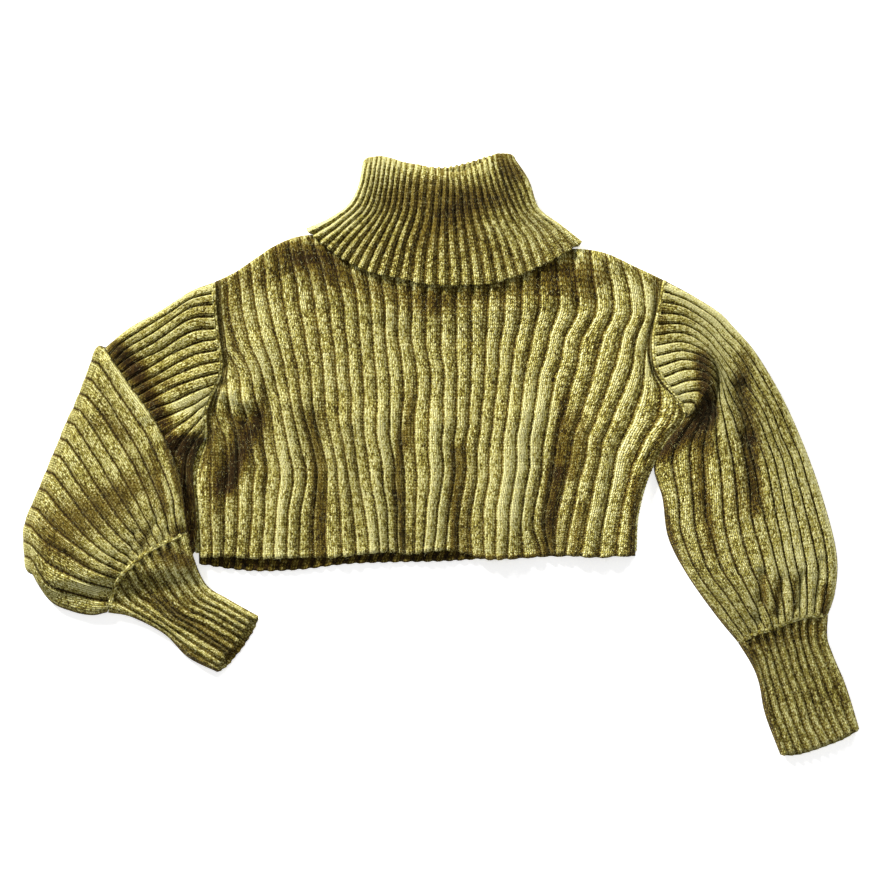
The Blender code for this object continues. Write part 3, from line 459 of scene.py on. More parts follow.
COLLAR_SHADES = (
    Shade("whole turnover", (-40, 256), (60, 256), 60, 0.16),
    Shade("middle of the front", (6, 250), (38, 237), 16, 0.45),
    Shade("top, at the right", (48, 304), (72, 294), 10, 0.4),
    Shade("top, at the middle", (-34, 288), (0, 284), 12, 0.35),
    Shade("lip", (-70, 306), (50, 303), 9, -1.7),
    Shade("right end of the lip", (62, 309), (80, 292), 9, 0.9),
    Shade("below the fold", (-50, 266), (64, 268), 18, 0.8),
    Shade("middle", (-16, 234), (34, 264), 14, 0.7),
    Shade("lower half", (-90, 214), (80, 216), 22, 0.4),
    Shade("left wing's edge", (-86, 294), (-96, 260), 10, -1.6),
    Shade("left wing", (-98, 246), (-138, 240), 11, -2.0),
    Shade("right part", (56, 240), (84, 226), 14, -0.8),
    Shade("right wing's edge", (96, 286), (106, 258), 8, -1.3),
    Shade("right wing", (110, 250), (148, 228), 8, -1.7),
)
SLEEVE_LEFT_SHADES = (
    Shade("ribs at the armhole", (-252, 68), (-247, 42), 7, -1.5),
    Shade("top edge", (-345, 128), (-242, 174), 6, -0.9),
    Shade("beside the armhole", (-248, 160), (-249, 136), 6, 0.7),
    Shade("along the upper arm", (-300, 126), (-240, 118), 12, -0.5),
    Shade("behind the rolled edge", (-339, 110), (-324, 92), 11, 2.2),
    Shade("behind the rolled edge, on", (-318, 84), (-290, 34), 10, 2.2),
    Shade("fold above the underarm", (-297, 80), (-268, 68), 6, 0.9),
    Shade("ledge at the underarm", (-274, 54), (-242, 50), 10, -1.9),
    Shade("hole at the underarm", (-284, 12), (-256, 11), 10, 3.0),
    Shade("below the underarm", (-266, 0), (-266, -126), 14, 2.2),
)
LOWER_STRETCH_SHADES = (
    Shade("bottom ribs", (-372, -142), (-318, -134), 7, -0.7),
    Shade("whole stretch", (-390, -60), (-310, 0), 90, 0.15),
    Shade("fold's edge", (-362, 100), (-414, -20), 5, -0.8),
    Shade("lower half of the puff", (-400, -76), (-325, -38), 24, 0.9),
    Shade("above the middle", (-356, 36), (-332, 24), 11, 0.6),
    Shade("middle", (-370, 0), (-345, -15), 13, -0.6),
    Shade("beside the rolled edge", (-300, 8), (-288, -56), 6, 0.9),
    Shade("rolled edge", (-345, 102), (-306, 36), 5, -0.9),
    Shade("rolled edge, on", (-300, 26), (-276, -60), 4, -0.9),
    Shade("under the rolled edge", (-288, 14), (-262, -70), 4, 1.4),
    Shade("lower left", (-410, -94), (-372, -114), 8, 0.6),
    Shade("bottom ribs, whole", (-400, -138), (-332, -138), 8, -1.3),
    Shade("at the bottom edge", (-350, -168), (-320, -172), 7, 1.0),
    Shade("beside the gathers", (-354, -97), (-328, -102), 8, -0.6),
    Shade("above the gathers", (-314, -48), (-297, -72), 9, -0.6),
    Shade("between the gathers", (-300, -62), (-312, -92), 5, 0.6),
    Shade("at the cuff seam", (-342, -120), (-352, -150), 7, 0.6),
    Shade("recess at the cuff", (-272, -84), (-256, -100), 9, 1.7),
)
SLEEVE_RIGHT_SHADES = (
    Shade("top of the shoulder", (228, 178), (318, 132), 9, -2.2),
    Shade("outer edge", (350, 90), (414, -100), 5, -0.9),
    Shade("beside the armhole", (231, 150), (233, 122), 7, 0.9),
    Shade("upper arm", (262, 128), (300, 120), 12, -0.6),
    Shade("puff", (226, 104), (244, 60), 18, -2.0),
    Shade("hole beside the puff", (272, 100), (280, 46), 9, 2.3),
    Shade("below the puff", (278, 42), (232, 6), 12, 2.5),
    Shade("below the hole", (276, 36), (282, 4), 7, 1.0),
    Shade("tuck's crest", (296, 88), (294, 20), 5, -0.9),
    Shade("above the trough", (318, 104), (316, 84), 9, 0.8),
    Shade("trough below the tuck", (314, 78), (324, 22), 9, 1.1),
    Shade("the same trough, on", (324, 14), (328, -56), 9, 1.4),
    Shade("the same trough, its foot", (308, -26), (308, -62), 7, 0.7),
    Shade("inner trough", (270, 16), (274, -40), 6, 1.0),
    Shade("inner trough, on", (276, -48), (283, -98), 7, 1.0),
    Shade("inner edge", (250, -36), (258, -80), 7, -0.5),
    Shade("underside", (230, -42), (252, -126), 4, 1.5),
    Shade("underside, on", (256, -132), (306, -194), 5, 1.5),
    Shade("ridge on the forearm", (358, -10), (366, -80), 14, -0.9),
    Shade("above the cuff", (340, -108), (396, -112), 18, -0.7),
    Shade("ridge above the cuff", (384, -108), (382, -148), 12, -0.9),
    Shade("gather 1", (337, -126), (338, -154), 4, 1.0),
    Shade("left of gather 1", (324, -148), (330, -174), 5, -1.0),
    Shade("gather 2", (354, -129), (350, -165), 4, 1.0),
    Shade("between gathers 2 and 3", (362, -134), (360, -162), 3, -0.8),
    Shade("gather 3", (371, -128), (368, -160), 4, 0.9),
    Shade("gather 4", (402, -138), (400, -167), 5, 1.6),
)
CUFF_LEFT_SHADES = (
    Shade("recess below the seam", (-289, -104), (-262, -112), 8, 1.3),
    Shade("upper rib", (-290, -124), (-262, -126), 6, -0.8),
    Shade("upper rib, on", (-258, -132), (-204, -170), 5, -0.5),
    Shade("fold along the cuff", (-300, -150), (-222, -206), 7, 0.7),
    Shade("whole cuff", (-290, -140), (-220, -195), 30, 0.2),
    Shade("beside the mouth", (-196, -186), (-226, -216), 4, 0.6),
    Shade("lower edge", (-320, -174), (-236, -228), 5, 1.3),
)
CUFF_RIGHT_SHADES = (
    Shade("below the seam", (318, -198), (404, -178), 13, 0.7),
    Shade("inner side", (324, -210), (352, -306), 5, 1.2),
    Shade("outer side", (410, -192), (440, -284), 4, -0.8),
    Shade("near the mouth", (360, -272), (366, -300), 9, -0.5),
)

# Linking seams: round ridges of loops
RIDGE_SIDES = 10
RIDGE_STEP = 0.9
RIDGE_LOOP = 3.6  # length of one loop
RIDGE_SWELL = 0.1  # how much a loop swells the ridge
RIDGE_TAPER = 1.2  # share of its radius in which a ridge rounds off at its ends
RIDGE_TIP = 0.15  # and how far in on that round it starts
SEAM_RADIUS = 2.6  # of the ridges at the armholes and the cuffs
SHOULDER_SEAM_RADIUS = 2.2
SHOULDER_SEAM_INSET = 0.9  # share of its radius by which it lies in from the panels' edge
SIDE_SEAM_HEIGHT = 3.2
SIDE_SEAM_END = 0.985  # just above the hem
CUFF_SEAM_LIFT = 1.2  # how far it stands over the cuff
CUFF_SEAM_SPAN = (0.02, 0.98, 30)  # its first and last share across the cuff, its points

# Loose fibres on each piece's upper side
Fuzz = namedtuple("Fuzz", "name piece count seed")
FUZZ = (
    Fuzz("front_fuzz", "front_knit", 13000, 101),
    Fuzz("collar_fuzz", "collar_knit", 5000, 102),
    Fuzz("sleeve_left_fuzz", "sleeve_left_knit", 9000, 103),
    Fuzz("sleeve_right_fuzz", "sleeve_right_knit", 8000, 104),
    Fuzz("cuff_left_fuzz", "cuff_left_knit", 1800, 105),
    Fuzz("cuff_right_fuzz", "cuff_right_knit", 2200, 106),
)
FIBRE_LENGTH = 4.2
FIBRE_SPREAD = 0.35  # how much their lengths vary
FIBRE_RADIUS = 0.08
FIBRE_RISE = (0.05, 0.75)  # least and most share of upright
FIBRE_BEND = 0.22  # share of their length, to the side
FIBRE_SCATTER = 0.6
FIBRE_ROOT_DEPTH = 0.3  # how deep in the knit they start
FIBRE_MIDDLE_LEAST = 0.2  # how high above the floor they stay
FIBRE_TIP_LEAST = 0.1
FIBRE_LEAST_FACING = -0.25  # fibres stand on faces that look up at least this much

# The cut of each piece: what shows, all round on a tube, in metres and square metres
Cut = namedtuple("Cut", "piece node flat area held rests_on")
CUTS = (
    Cut("front_knit", "front_panel", (0.52, 0.33), 0.155, "laid", ("back_knit",)),
    Cut("back_knit", "back_panel", (0.52, 0.34), 0.155, "laid", ("floor",)),
    Cut("collar_knit", "collar", (0.52, 0.24), 0.09, "folded", ("back_knit", "front_knit")),
    Cut("sleeve_left_knit", "sleeve_left", (0.40, 0.36), 0.13, "folded", ("floor",)),
    Cut("sleeve_right_knit", "sleeve_right", (0.40, 0.36), 0.10, "laid", ("floor",)),
    Cut("cuff_left_knit", "cuff_left", (0.18, 0.15), 0.026, "laid", ("floor",)),
    Cut("cuff_right_knit", "cuff_right", (0.18, 0.15), 0.026, "laid", ("floor",)),
)

# Looks
STITCH_SLANT = 0.9  # courses that a leg rises from its wale's middle, for a wale's width
STITCH_DEPTH = 0.0022  # metres
STITCH_BUMP = 0.8
STITCH_DRIFT = (0.5, 0.9, 0.0)  # how far stitches stray across their wale and along it
STITCH_DRIFT_SCALE = 0.9
LEG_POWER = 2.0  # how round a stitch's legs and loops are
LOOP_POWER = 2.5
LOOP_SHARE = 0.65  # how much of a stitch's height comes and goes along it
# Painted shade in the furrow beside each wale and in the gaps between stitches
FURROW_FROM = 0.26  # share of a wale from its middle out to the furrow beside it, where its painted shade starts
FURROW_SHADE = 0.85
GAP_HEIGHT = 0.7  # below this height on a stitch, painted shade darkens the gap between stitches
GAP_SHADE = 0.9
FIBRE_SCALE = 500.0
FINE_FIBRES = 1.6  # shares of that scale, for the relief and for the loose fibres
COARSE_FIBRES = 0.6
FIBRE_RELIEF = 0.8
PATCH_SCALE = 22.0
TONE_WEIGHT = 0.38  # how much a leg's own tone, its fibres and the patch vary the yarn
FIBRE_WEIGHT = 1.7
PATCH_WEIGHT = 0.4
MARL_MIDDLE = 0.50
KNOT_LIGHT = 0.8  # painted light: how much lighter the middle of a stitch looks than its edge
KNOT_MIDDLE = 0.48  # the mean of that form, so that the whole gets no lighter
PURL_LIGHT = 1.0  # how much the bumps of the purl stitches vary the light
PURL_SCALE = 2.2
PURL_STRETCH = (0.7, 1.0, 0.0)
# Two values of the light, and what each of them gives
PAINTED_LIGHT_TONE = (1.0, 2.5, 0.0, 0.3)  # painted light: a lighter tone of yarn where the light is high
VALLEY_RANGE = (0.0, 0.8, 1.0, 0.0)  # the share of the valley's painted shade
YARN_TONES = (
    (0.30, (0.095, 0.062, 0.005)),
    (0.43, (0.340, 0.284, 0.044)),
    (0.56, (0.640, 0.585, 0.135)),
    (0.72, (0.985, 0.955, 0.470)),
)
VALLEY_TONE = (0.25, 0.188, 0.055)  # what is left of the light and the colour deep in a valley
HOLLOW_TONE = (0.055, 0.028, 0.010)  # the same deep in a hollow
HIDDEN_DEPTH = 0.7  # how far below a valley's light a place is as dark as it gets
BACK_HEM_DARKER = 1.0  # how much less light it has, in the shade of the front's hem
HOLLOW_SHARE = 0.9  # how fast the light goes as a hollow gets darker
HOLLOW_LOSS = 0.42  # and how much more of it, all over the hollow
FOLD_LIGHT = 0.05  # how much lighter a fold looks for each millimetre of its height
VALLEY_GAIN = 0.15  # share of a light place's light that reaches a rib's valley
RIDGE_LIGHT = 0.8  # of the linking seams
INSIDE_LIGHT = 0.5  # of the inside of every piece
ROUGHNESS = (0.78, 0.98)
SHEEN_TINT = (0.75, 0.72, 0.38)
FIBRE_TONES = ((0.35, (0.42, 0.39, 0.12)), (0.65, (0.80, 0.77, 0.40)))

# The stage, in metres
FLOOR_HALF = 6.0
FLOOR_DROP = -0.0004
FLOOR_TONES = ((0.3, (0.88, 0.88, 0.88)), (0.7, (0.91, 0.91, 0.91)))
FLOOR_CLOUDS = 3.0
FLOOR_GLOW = 0.6
CAMERA_HEIGHT = 3.2
VIEW_WIDTH = 0.9345
VIEW_CENTRE = (0.0038, 0.0100)
Light = namedtuple("Light", "name place size power colour")
LIGHTS = (
    Light("key", (-2.0, 2.4, 1.4), 0.7, 245.0, (1.0, 0.98, 0.93)),
    Light("second window", (1.4, 2.8, 1.2), 1.0, 60.0, (1.0, 0.99, 0.96)),
)
SKY_STRENGTH = 0.38


# ---------------------------------------------------------------- curves through the tables


def smooth(value):
    """0 below 0, 1 above 1, with a soft start and end."""
    held = np.clip(value, 0.0, 1.0)
    return held * held * (3.0 - 2.0 * held)


def bulge(distance, radius):
    """The profile of a round edge: 0 at the edge, 1 from `radius` inwards."""
    return np.sqrt(1.0 - (1.0 - np.clip(distance / radius, 0.0, 1.0)) ** 2)


def rates(values, at):
    """How fast a table's values change from each point to the next, and the steps between them."""
    step = np.diff(at).reshape((-1,) + (1,) * (values.ndim - 1))
    return np.diff(values, axis=0) / step, step


def slopes(values, at):
    """The slope at each point of a table, from its neighbours."""
    rate, step = rates(values, at)
    middle = (rate[:-1] * step[1:] + rate[1:] * step[:-1]) / (step[:-1] + step[1:])
    return np.concatenate([rate[:1], middle, rate[-1:]])


def level_slopes(values, at):
    """The same for heights: the curve never swings past a point of the table."""
    rate, _ = rates(values, at)
    product = rate[:-1] * rate[1:]
    total = np.where(product > 0, rate[:-1] + rate[1:], 1.0)
    middle = np.where(product > 0, 2.0 * product / total, 0.0)
    return np.concatenate([rate[:1], middle, rate[-1:]])


def through(values, at, where):
    """A smooth curve through `values` (one for each of `at`), read at `where`."""
    values, at = np.asarray(values, float), np.asarray(at, float)
    where = np.clip(where, at[0], at[-1])
    index = np.clip(np.searchsorted(at, where, side="right") - 1, 0, len(at) - 2)
    width = (at[index + 1] - at[index]).reshape((-1,) + (1,) * (values.ndim - 1))
    t = ((where - at[index]) / (at[index + 1] - at[index])).reshape(width.shape)
    slope = slopes(values, at)
    if values.shape[-1] > 2:
        slope[..., 2] = level_slopes(values[..., 2], at)
    start, end = values[index], values[index + 1]
    rise = 2 * t**3 - 3 * t**2 + 1
    leave = (t**3 - 2 * t**2 + t) * width
    arrive = (t**3 - t**2) * width
    return rise * start + leave * slope[index] + (1 - rise) * end + arrive * slope[index + 1]


def across(points, v):
    """One section's points, read at the shares `v` of its width."""
    return through(points, np.linspace(0.0, 1.0, len(points)), np.asarray(v))


def plan(sections, u, v):
    """The grid of points at shares `u` along a piece and `v` across it."""
    rows = np.stack([across(section.points, v) for section in sections])
    return through(rows, [section.at for section in sections], np.asarray(u))


def run_along(points):
    """How far along its line each point lies; the lines may be the columns of a grid."""
    steps = np.linalg.norm(np.diff(points, axis=0), axis=-1)
    return np.concatenate([np.zeros_like(steps[:1]), np.cumsum(steps, axis=0)])


def from_edges(grid):
    """How far each point of a row lies from the row's nearer end, in plan."""
    run = run_along(grid[..., :2].swapaxes(0, 1)).T
    return np.minimum(run, run[:, -1:] - run)


def to_last_row(grid):
    """How far each point lies from the last row, along the piece, in plan."""
    run = run_along(grid[..., :2])
    return run[-1:] - run


# ---------------------------------------------------------------- ribs, and where samples lie


def rib_samples(ribs, rib):
    """Shares across a piece, at the points of each rib's profile."""
    shares = [(k + rung.at) / ribs for k in range(ribs) for rung in rib.profile]
    return np.array(shares + [1.0])


def plain_samples(ribs, first=0.0):
    """One share for each rib. The outer two lie `first` ribs in from the piece's edges."""
    return np.array([first / ribs, *(np.arange(1, ribs) / ribs), 1.0 - first / ribs])


def rows_to_an_edge(count):
    """Even shares along a piece, with more rows where its last edge is rounded."""
    step = 1.0 / (count - 1)
    return np.sort([*np.linspace(0.0, 1.0, count), *(1.0 - share * step for share in EDGE_ROWS)])


def rib_profile(v, ribs, rib, value):
    """A value of the rungs of a rib's profile, read at shares `v` across a piece."""
    rungs = [*rib.profile, rib.profile[0]._replace(at=1.0)]
    return np.interp((v * ribs) % 1.0, [rung.at for rung in rungs], [value(rung) for rung in rungs])


def rib_crest(v, ribs, rib):
    """How high each share lies on its rib, from 0 in the valley to 1 on the crest."""
    return rib_profile(v, ribs, rib, lambda rung: rung.height)


def rib_light(v, ribs, rib):
    """How much lighter each share looks than its height on the rib makes it."""
    return rib_profile(v, ribs, rib, lambda rung: rung.light - rung.height)


def lost_shares(at):
    """The shares of a panel's ribs that have run out at its left and right edge."""
    known = [lost.at for lost in LOST_RIBS]
    sides = [(lost.left, lost.right) for lost in LOST_RIBS]
    return np.maximum(through(sides, known, [at])[0], 0.0) / PANEL_RIBS


def spread(at, v):
    """Where a panel's samples lie across it, the ribs that have run out in the edge's strip."""
    left, right = lost_shares(at)
    strip_left, strip_right = np.minimum(lost_shares(at) * STRIP_SHARES, LOST_STRIP)
    return np.interp(v, [0.0, left, 1.0 - right, 1.0], [0.0, strip_left, 1.0 - strip_right, 1.0])


def panel_plan(sections, u, v):
    """The grid of a panel's points."""
    return np.concatenate([plan(sections, [at], spread(at, v)) for at in u])


def panel_crest(u, v):
    """How high a panel's points lie on their ribs: flat where the ribs have run out."""
    edges = np.array([lost_shares(at) for at in u])
    inside = np.minimum(v - edges[:, :1], 1.0 - edges[:, 1:] - v) * PANEL_RIBS
    return rib_crest(v, PANEL_RIBS, WIDE)[None, :] * smooth(inside / LOST_FADE + 1.0)


# ---------------------------------------------------------------- folds, unevenness and light


def nearest_offset(grid, line):
    """From the nearest point of a fold's or shade's line to each point, in plan."""
    start, end = np.array(line.start, float), np.array(line.end, float)
    run = end - start
    share = np.clip((grid[..., :2] - start) @ run / (run @ run), 0.0, 1.0)
    return grid[..., :2] - start - share[..., None] * run


def reached(grid, line):
    """How much of a fold or shade reaches each point: 1 on its line, and less beside it."""
    far = np.linalg.norm(nearest_offset(grid, line), axis=-1) / line.width
    return np.exp(-(far**2))


def folded(grid, folds):
    """The sum of the soft folds' heights at each point."""
    height = np.zeros(grid.shape[:-1])
    for fold in folds:
        height += fold.height * reached(grid, fold)
    return height


def lit(grid, crest, folds, shades):
    """How light each place looks, from how light its rib is there. Folds and light places add
    to it, most of all on the crests, and a hollow takes a share of it and a little more."""
    gain = FOLD_LIGHT * folded(grid, folds)
    for shade in shades:
        gain -= shade.darker * reached(grid, shade)
    more, less = np.maximum(gain, 0.0), np.maximum(-gain, 0.0)
    left = crest * np.exp(-HOLLOW_SHARE * less) - HOLLOW_LOSS * less
    return left + more * (VALLEY_GAIN + (1.0 - VALLEY_GAIN) * crest)


def waves(grid, seed, length):
    """A smooth, uneven field between about -1 and 1, with bumps about `length` across."""
    rng = np.random.default_rng(seed)
    total = np.zeros(grid.shape[:-1])
    for turn, phase, stretch in rng.uniform(0.0, 1.0, (WAVES, 3)):
        facing = np.array([np.cos(TURN * turn), np.sin(TURN * turn)])
        rate = TURN / (length * (SHORTEST_WAVE + WAVE_SPREAD * stretch))
        total += np.sin(rate * (grid[..., :2] @ facing) + TURN * phase)
    return total / np.sqrt(2.0 * WAVES)


def uneven(grid, folds, seed):
    """The plan with its ribs drawn to the folds and wandering a little, its edges kept."""
    inside = smooth(from_edges(grid) / KEPT_EDGE)[..., None]
    moved = grid.copy()
    for fold in folds:
        offset = nearest_offset(grid, fold) / fold.width
        far = np.sum(offset**2, axis=-1, keepdims=True)
        moved[..., :2] -= inside * fold.pull * offset * np.exp(-far)
    for axis in (0, 1):
        moved[..., axis] += inside[..., 0] * WANDER * waves(grid, seed + axis, WANDER_LENGTH)
    return moved


def drawn_out(grid, distance):
    """The plan, each point moved by a distance the way that its column runs at its end."""
    onwards = grid[-1, :, :2] - grid[-2, :, :2]
    onwards = onwards / np.linalg.norm(onwards, axis=-1, keepdims=True)
    moved = grid.copy()
    moved[..., :2] += distance[..., None] * onwards
    return moved


def scalloped(grid, crest, reach):
    """The plan with its last row drawn out at each rib and in at each valley."""
    share = smooth(1.0 - to_last_row(grid) / reach)
    return drawn_out(grid, share * SCALLOP * (crest - 0.5))


# ---------------------------------------------------------------- what a piece lies on


def collar_lift(grid):
    """How far the panels are raised by the back of the turnover that lies below them."""
    radius = np.linalg.norm(grid[..., :2] - np.array(TURNOVER_ARC_CENTRE), axis=-1)
    ramp = (LIFT_END_RADIUS - radius) / (LIFT_END_RADIUS - LIFT_FULL_RADIUS)
    return COLLAR_BACK_LEVEL * smooth(ramp)


def drape(grid):
    """How far the left sleeve's lower stretch is raised by the upper stretch."""
    start, end = np.array(DRAPE_LINE[0], float), np.array(DRAPE_LINE[1], float)
    along = (end - start) / np.linalg.norm(end - start)
    offset = grid[..., :2] - start
    beyond = along[1] * offset[..., 0] - along[0] * offset[..., 1]
    return UPPER_STRETCH_TOP * (1.0 - smooth(-beyond / DRAPE_LENGTH))


def no_lift(grid):
    """For a piece that lies on the floor."""
    return np.zeros(grid.shape[:-1])


def front_level(grid):
    """The level of the front panel's underside: it lies on the back, and its folds lift it."""
    return PANEL_STEP + collar_lift(grid) + np.maximum(folded(grid, FRONT_FOLDS), 0.0) / 2


# ---------------------------------------------------------------- skins
# A skin is a grid of points that each hold x, y, z, light, and its place in stitches.


def skin(grid, height, light, u, v, wales, courses):
    """One side of a piece: its plan at a height, with its light and its stitch numbers."""
    shape = grid.shape[:-1]
    stitch_across = np.broadcast_to(np.asarray(v)[None, :] * wales, shape)
    stitch_along = np.broadcast_to(np.asarray(u)[:, None] * courses, shape)
    channels = (grid[..., 0], grid[..., 1], height, light, stitch_across, stitch_along)
    return np.stack([np.broadcast_to(channel, shape) for channel in channels], axis=-1)


def ring(first, second):
    """Rows round a tube: along the first side, and back along the second."""
    return np.concatenate([first, second[:, ::-1]], axis=1)


def ring_shares(first, second):
    """The shares of such rows' points, from 0 round to LAP."""
    return [*first, *(LAP - second[::-1])]


def turned(start, end, outwards):
    """Rows of a fold, round half a circle from the row `start` to the row `end`."""
    rows = []
    half = (start[:, :3] - end[:, :3]) / 2
    radius = np.linalg.norm(half, axis=-1, keepdims=True)
    for angle in np.linspace(0.0, np.pi, TURN_ROWS + 2)[1:-1]:
        share = angle / np.pi
        row = start * (1.0 - share) + end * share
        row[:, :3] = (start[:, :3] + end[:, :3]) / 2 + np.cos(angle) * half
        row[:, :3] += np.sin(angle) * radius * np.array(outwards)
        rows.append(row)
    return np.stack(rows)


def folded_over(first_rows, last_rows, outwards):
    """Rows along a folded tube: its first stretch, the turn, its last stretch."""
    turn = turned(first_rows[-1], last_rows[0], outwards)
    return np.concatenate([first_rows, turn, last_rows])


# ---------------------------------------------------------------- meshes


def bridged(first, second, first_at, second_at, closed):
    """Triangles between two rows of vertices that hold different numbers of points."""
    first, second = list(first), list(second)
    if closed:
        first, first_at = [*first, first[0]], [*first_at, first_at[0] + LAP]
        second, second_at = [*second, second[0]], [*second_at, second_at[0] + LAP]
    faces, i, j = [], 0, 0
    while i < len(first) - 1 or j < len(second) - 1:
        more = i < len(first) - 1
        if more and (j == len(second) - 1 or first_at[i + 1] <= second_at[j + 1]):
            faces.append((first[i], first[i + 1], second[j]))
            i += 1
        else:
            faces.append((first[i], second[j + 1], second[j]))
            j += 1
    return faces


def skin_faces(index, closed):
    """The quads of a grid of vertex numbers."""
    following = np.roll(index, -1, axis=1) if closed else index[:, 1:]
    here = index if closed else index[:, :-1]
    quads = np.stack([here[:-1], following[:-1], following[1:], here[1:]], axis=-1)
    return [tuple(quad) for quad in quads.reshape(-1, 4).tolist()]


def vertex_numbers(rows, first=0):
    """A number for each point of a skin, from `first` on."""
    count = rows.shape[0] * rows.shape[1]
    return np.arange(first, first + count).reshape(rows.shape[:2])


def wall_object(name, outer, inner, outer_at, inner_at, closed):
    """One closed wall of cloth from the rows of its outside and of its inside."""
    outer_index = vertex_numbers(outer)
    inner_index = vertex_numbers(inner, outer_index.size)
    faces = skin_faces(outer_index, closed) + skin_faces(inner_index, closed)
    for end in (0, -1):
        faces += bridged(outer_index[end], inner_index[end], outer_at, inner_at, closed)
    if not closed:
        for side in (0, -1):
            faces += skin_faces(np.stack([outer_index[:, side], inner_index[:, side]], axis=1), False)
    points = np.concatenate([outer.reshape(-1, CHANNELS), inner.reshape(-1, CHANNELS)])
    return knit_object(name, points, faces)


def new_mesh(name, points, faces):
    """A smooth mesh from points in the frame, in millimetres."""
    data = bpy.data.meshes.new(name)
    data.from_pydata((points * MM).tolist(), [], faces)
    data.shade_smooth()
    return data


def mesh_object(name, data, material):
    """Puts a mesh into the scene in its material."""
    data.materials.append(material)
    made = bpy.data.objects.new(name, data)
    bpy.context.scene.collection.objects.link(made)
    return made


def knit_object(name, points, faces):
    """A mesh in the knit material, with its light and its stitch numbers on it."""
    data = new_mesh(name, points[:, :3] + np.array([*CENTRING, 0.0]), faces)
    shell = bmesh.new()
    shell.from_mesh(data)
    bmesh.ops.recalc_face_normals(shell, faces=shell.faces)
    shell.to_mesh(data)
    shell.free()
    data.attributes.new("light", "FLOAT", "POINT").data.foreach_set("value", points[:, 3].copy())
    corners = np.empty(len(data.loops), np.int32)
    data.loops.foreach_get("vertex_index", corners)
    stitches = data.uv_layers.new(name="stitches")
    stitches.data.foreach_set("uv", points[corners][:, 4:].ravel())
    data.set_sharp_from_angle(angle=np.radians(SHARP_ANGLE))
    return mesh_object(name, data, knit_material())


# ---------------------------------------------------------------- panels


def panel_edge(top):
    """The share of a panel's thickness at each point: less near its rounded edges."""
    edge = bulge(from_edges(top), EDGE_RADIUS) * bulge(to_last_row(top) + HEM_START, HEM_RADIUS)
    edge[0] *= LEAST_EDGE
    return LEAST_EDGE + (1.0 - LEAST_EDGE) * edge


def panel_object(name, samples, outside, inside):
    """A panel from its outside (plan, height, light) and its inside (plan, height)."""
    u, v, v_plain = samples
    wales, courses = PANEL_RIBS * WIDE.wales, PANEL_LENGTH / COURSE
    outer = skin(*outside, u, v, wales, courses)
    inner = skin(*inside, INSIDE_LIGHT, u, v_plain, wales, courses)
    return wall_object(name, outer, inner, v, v_plain, closed=False)


def front_panel():
    """The ribbed front, from the shoulders to the hem."""
    sections = (*BODY, FRONT_HEM)
    u, v = rows_to_an_edge(PANEL_ROWS), rib_samples(PANEL_RIBS, WIDE)
    v_plain = plain_samples(PANEL_RIBS)
    crest = panel_crest(u, v)
    top = uneven(panel_plan(sections, u, v), FRONT_FOLDS, FRONT_SEED)
    top = scalloped(top, crest, PANEL_SCALLOP_REACH)
    bottom = uneven(panel_plan(sections, u, v_plain), FRONT_FOLDS, FRONT_SEED)

    folds = folded(top, FRONT_FOLDS)
    lip = HEM_LIP * np.exp(-((to_last_row(top) - HEM_LIP_AT) / HEM_LIP_WIDTH) ** 2)
    thick = np.maximum(WALL + folds / 2, LEAST_WALL) + WIDE.height * crest
    thick += lip + UNEVEN_HEIGHT * waves(top, FRONT_HEIGHT_SEED, UNEVEN_LENGTH)
    height = front_level(top) + thick * panel_edge(top)
    light = lit(top, crest + rib_light(v, PANEL_RIBS, WIDE), FRONT_FOLDS, FRONT_SHADES)
    return panel_object("front_knit", (u, v, v_plain), (top, height, light),
                        (bottom, front_level(bottom)))


def back_panel():
    """The back, plain where it rests and ribbed only where its hem shows."""
    sections = (*BODY, BACK_HEM)
    u, v = rows_to_an_edge(PANEL_ROWS // 2), rib_samples(PANEL_RIBS, WIDE)
    v_plain = plain_samples(PANEL_RIBS)
    crest = panel_crest(u, v)
    top = scalloped(panel_plan(sections, u, v), crest, PANEL_SCALLOP_REACH)
    bottom = panel_plan(sections, u, v_plain)
    shows = smooth(1.0 - (to_last_row(top) - BACK_HEM_SHOWN) / BACK_HEM_FADE)
    height = collar_lift(top) + (WALL + shows * BACK_HEM_RIBS * crest) * panel_edge(top)
    return panel_object("back_knit", (u, v, v_plain), (top, height, crest - BACK_HEM_DARKER),
                        (bottom, collar_lift(bottom)))


# ---------------------------------------------------------------- collar
# `front` says whether the front or the back of the collar's ring is asked for.


def lowered(grid, v, share_down):
    """The front of the collar's plan, where it lies below the back of it."""
    drop = np.interp(v, *zip(*COLLAR_DIP))[None, :]
    moved = grid.copy()
    moved[..., 1] -= drop * smooth(1.0 - np.asarray(share_down) / DIP_REACH)[:, None]
    return moved


def turnover(v, front):
    """The turnover's plan, from its loose edge up to the top fold."""
    down = rows_to_an_edge(TURNOVER_ROWS)
    grid = uneven(plan(TURNOVER, down, v), NO_FOLDS, COLLAR_SEED)
    if front:
        grid = lowered(grid, v, down)
    crest = rib_crest(v, COLLAR_RIBS, NARROW)[None, :] * np.ones((len(down), 1))
    return scalloped(grid, crest, TUBE_SCALLOP_REACH)[::-1]


def stand(v, front):
    """The stand's plan, from just inside the top fold down to the neckline."""
    top = plan(TURNOVER, [0.0], STAND_INSET + (1.0 - 2 * STAND_INSET) * v)
    if front:
        top = lowered(top, v, [0.0])
    first, last = NECKLINE
    foot = plan(BODY, [0.0], first + (last - first) * v) + np.array([0.0, SEAM_GAP])
    return top + np.linspace(0.0, 1.0, STAND_ROWS)[:, None, None] * (foot - top)


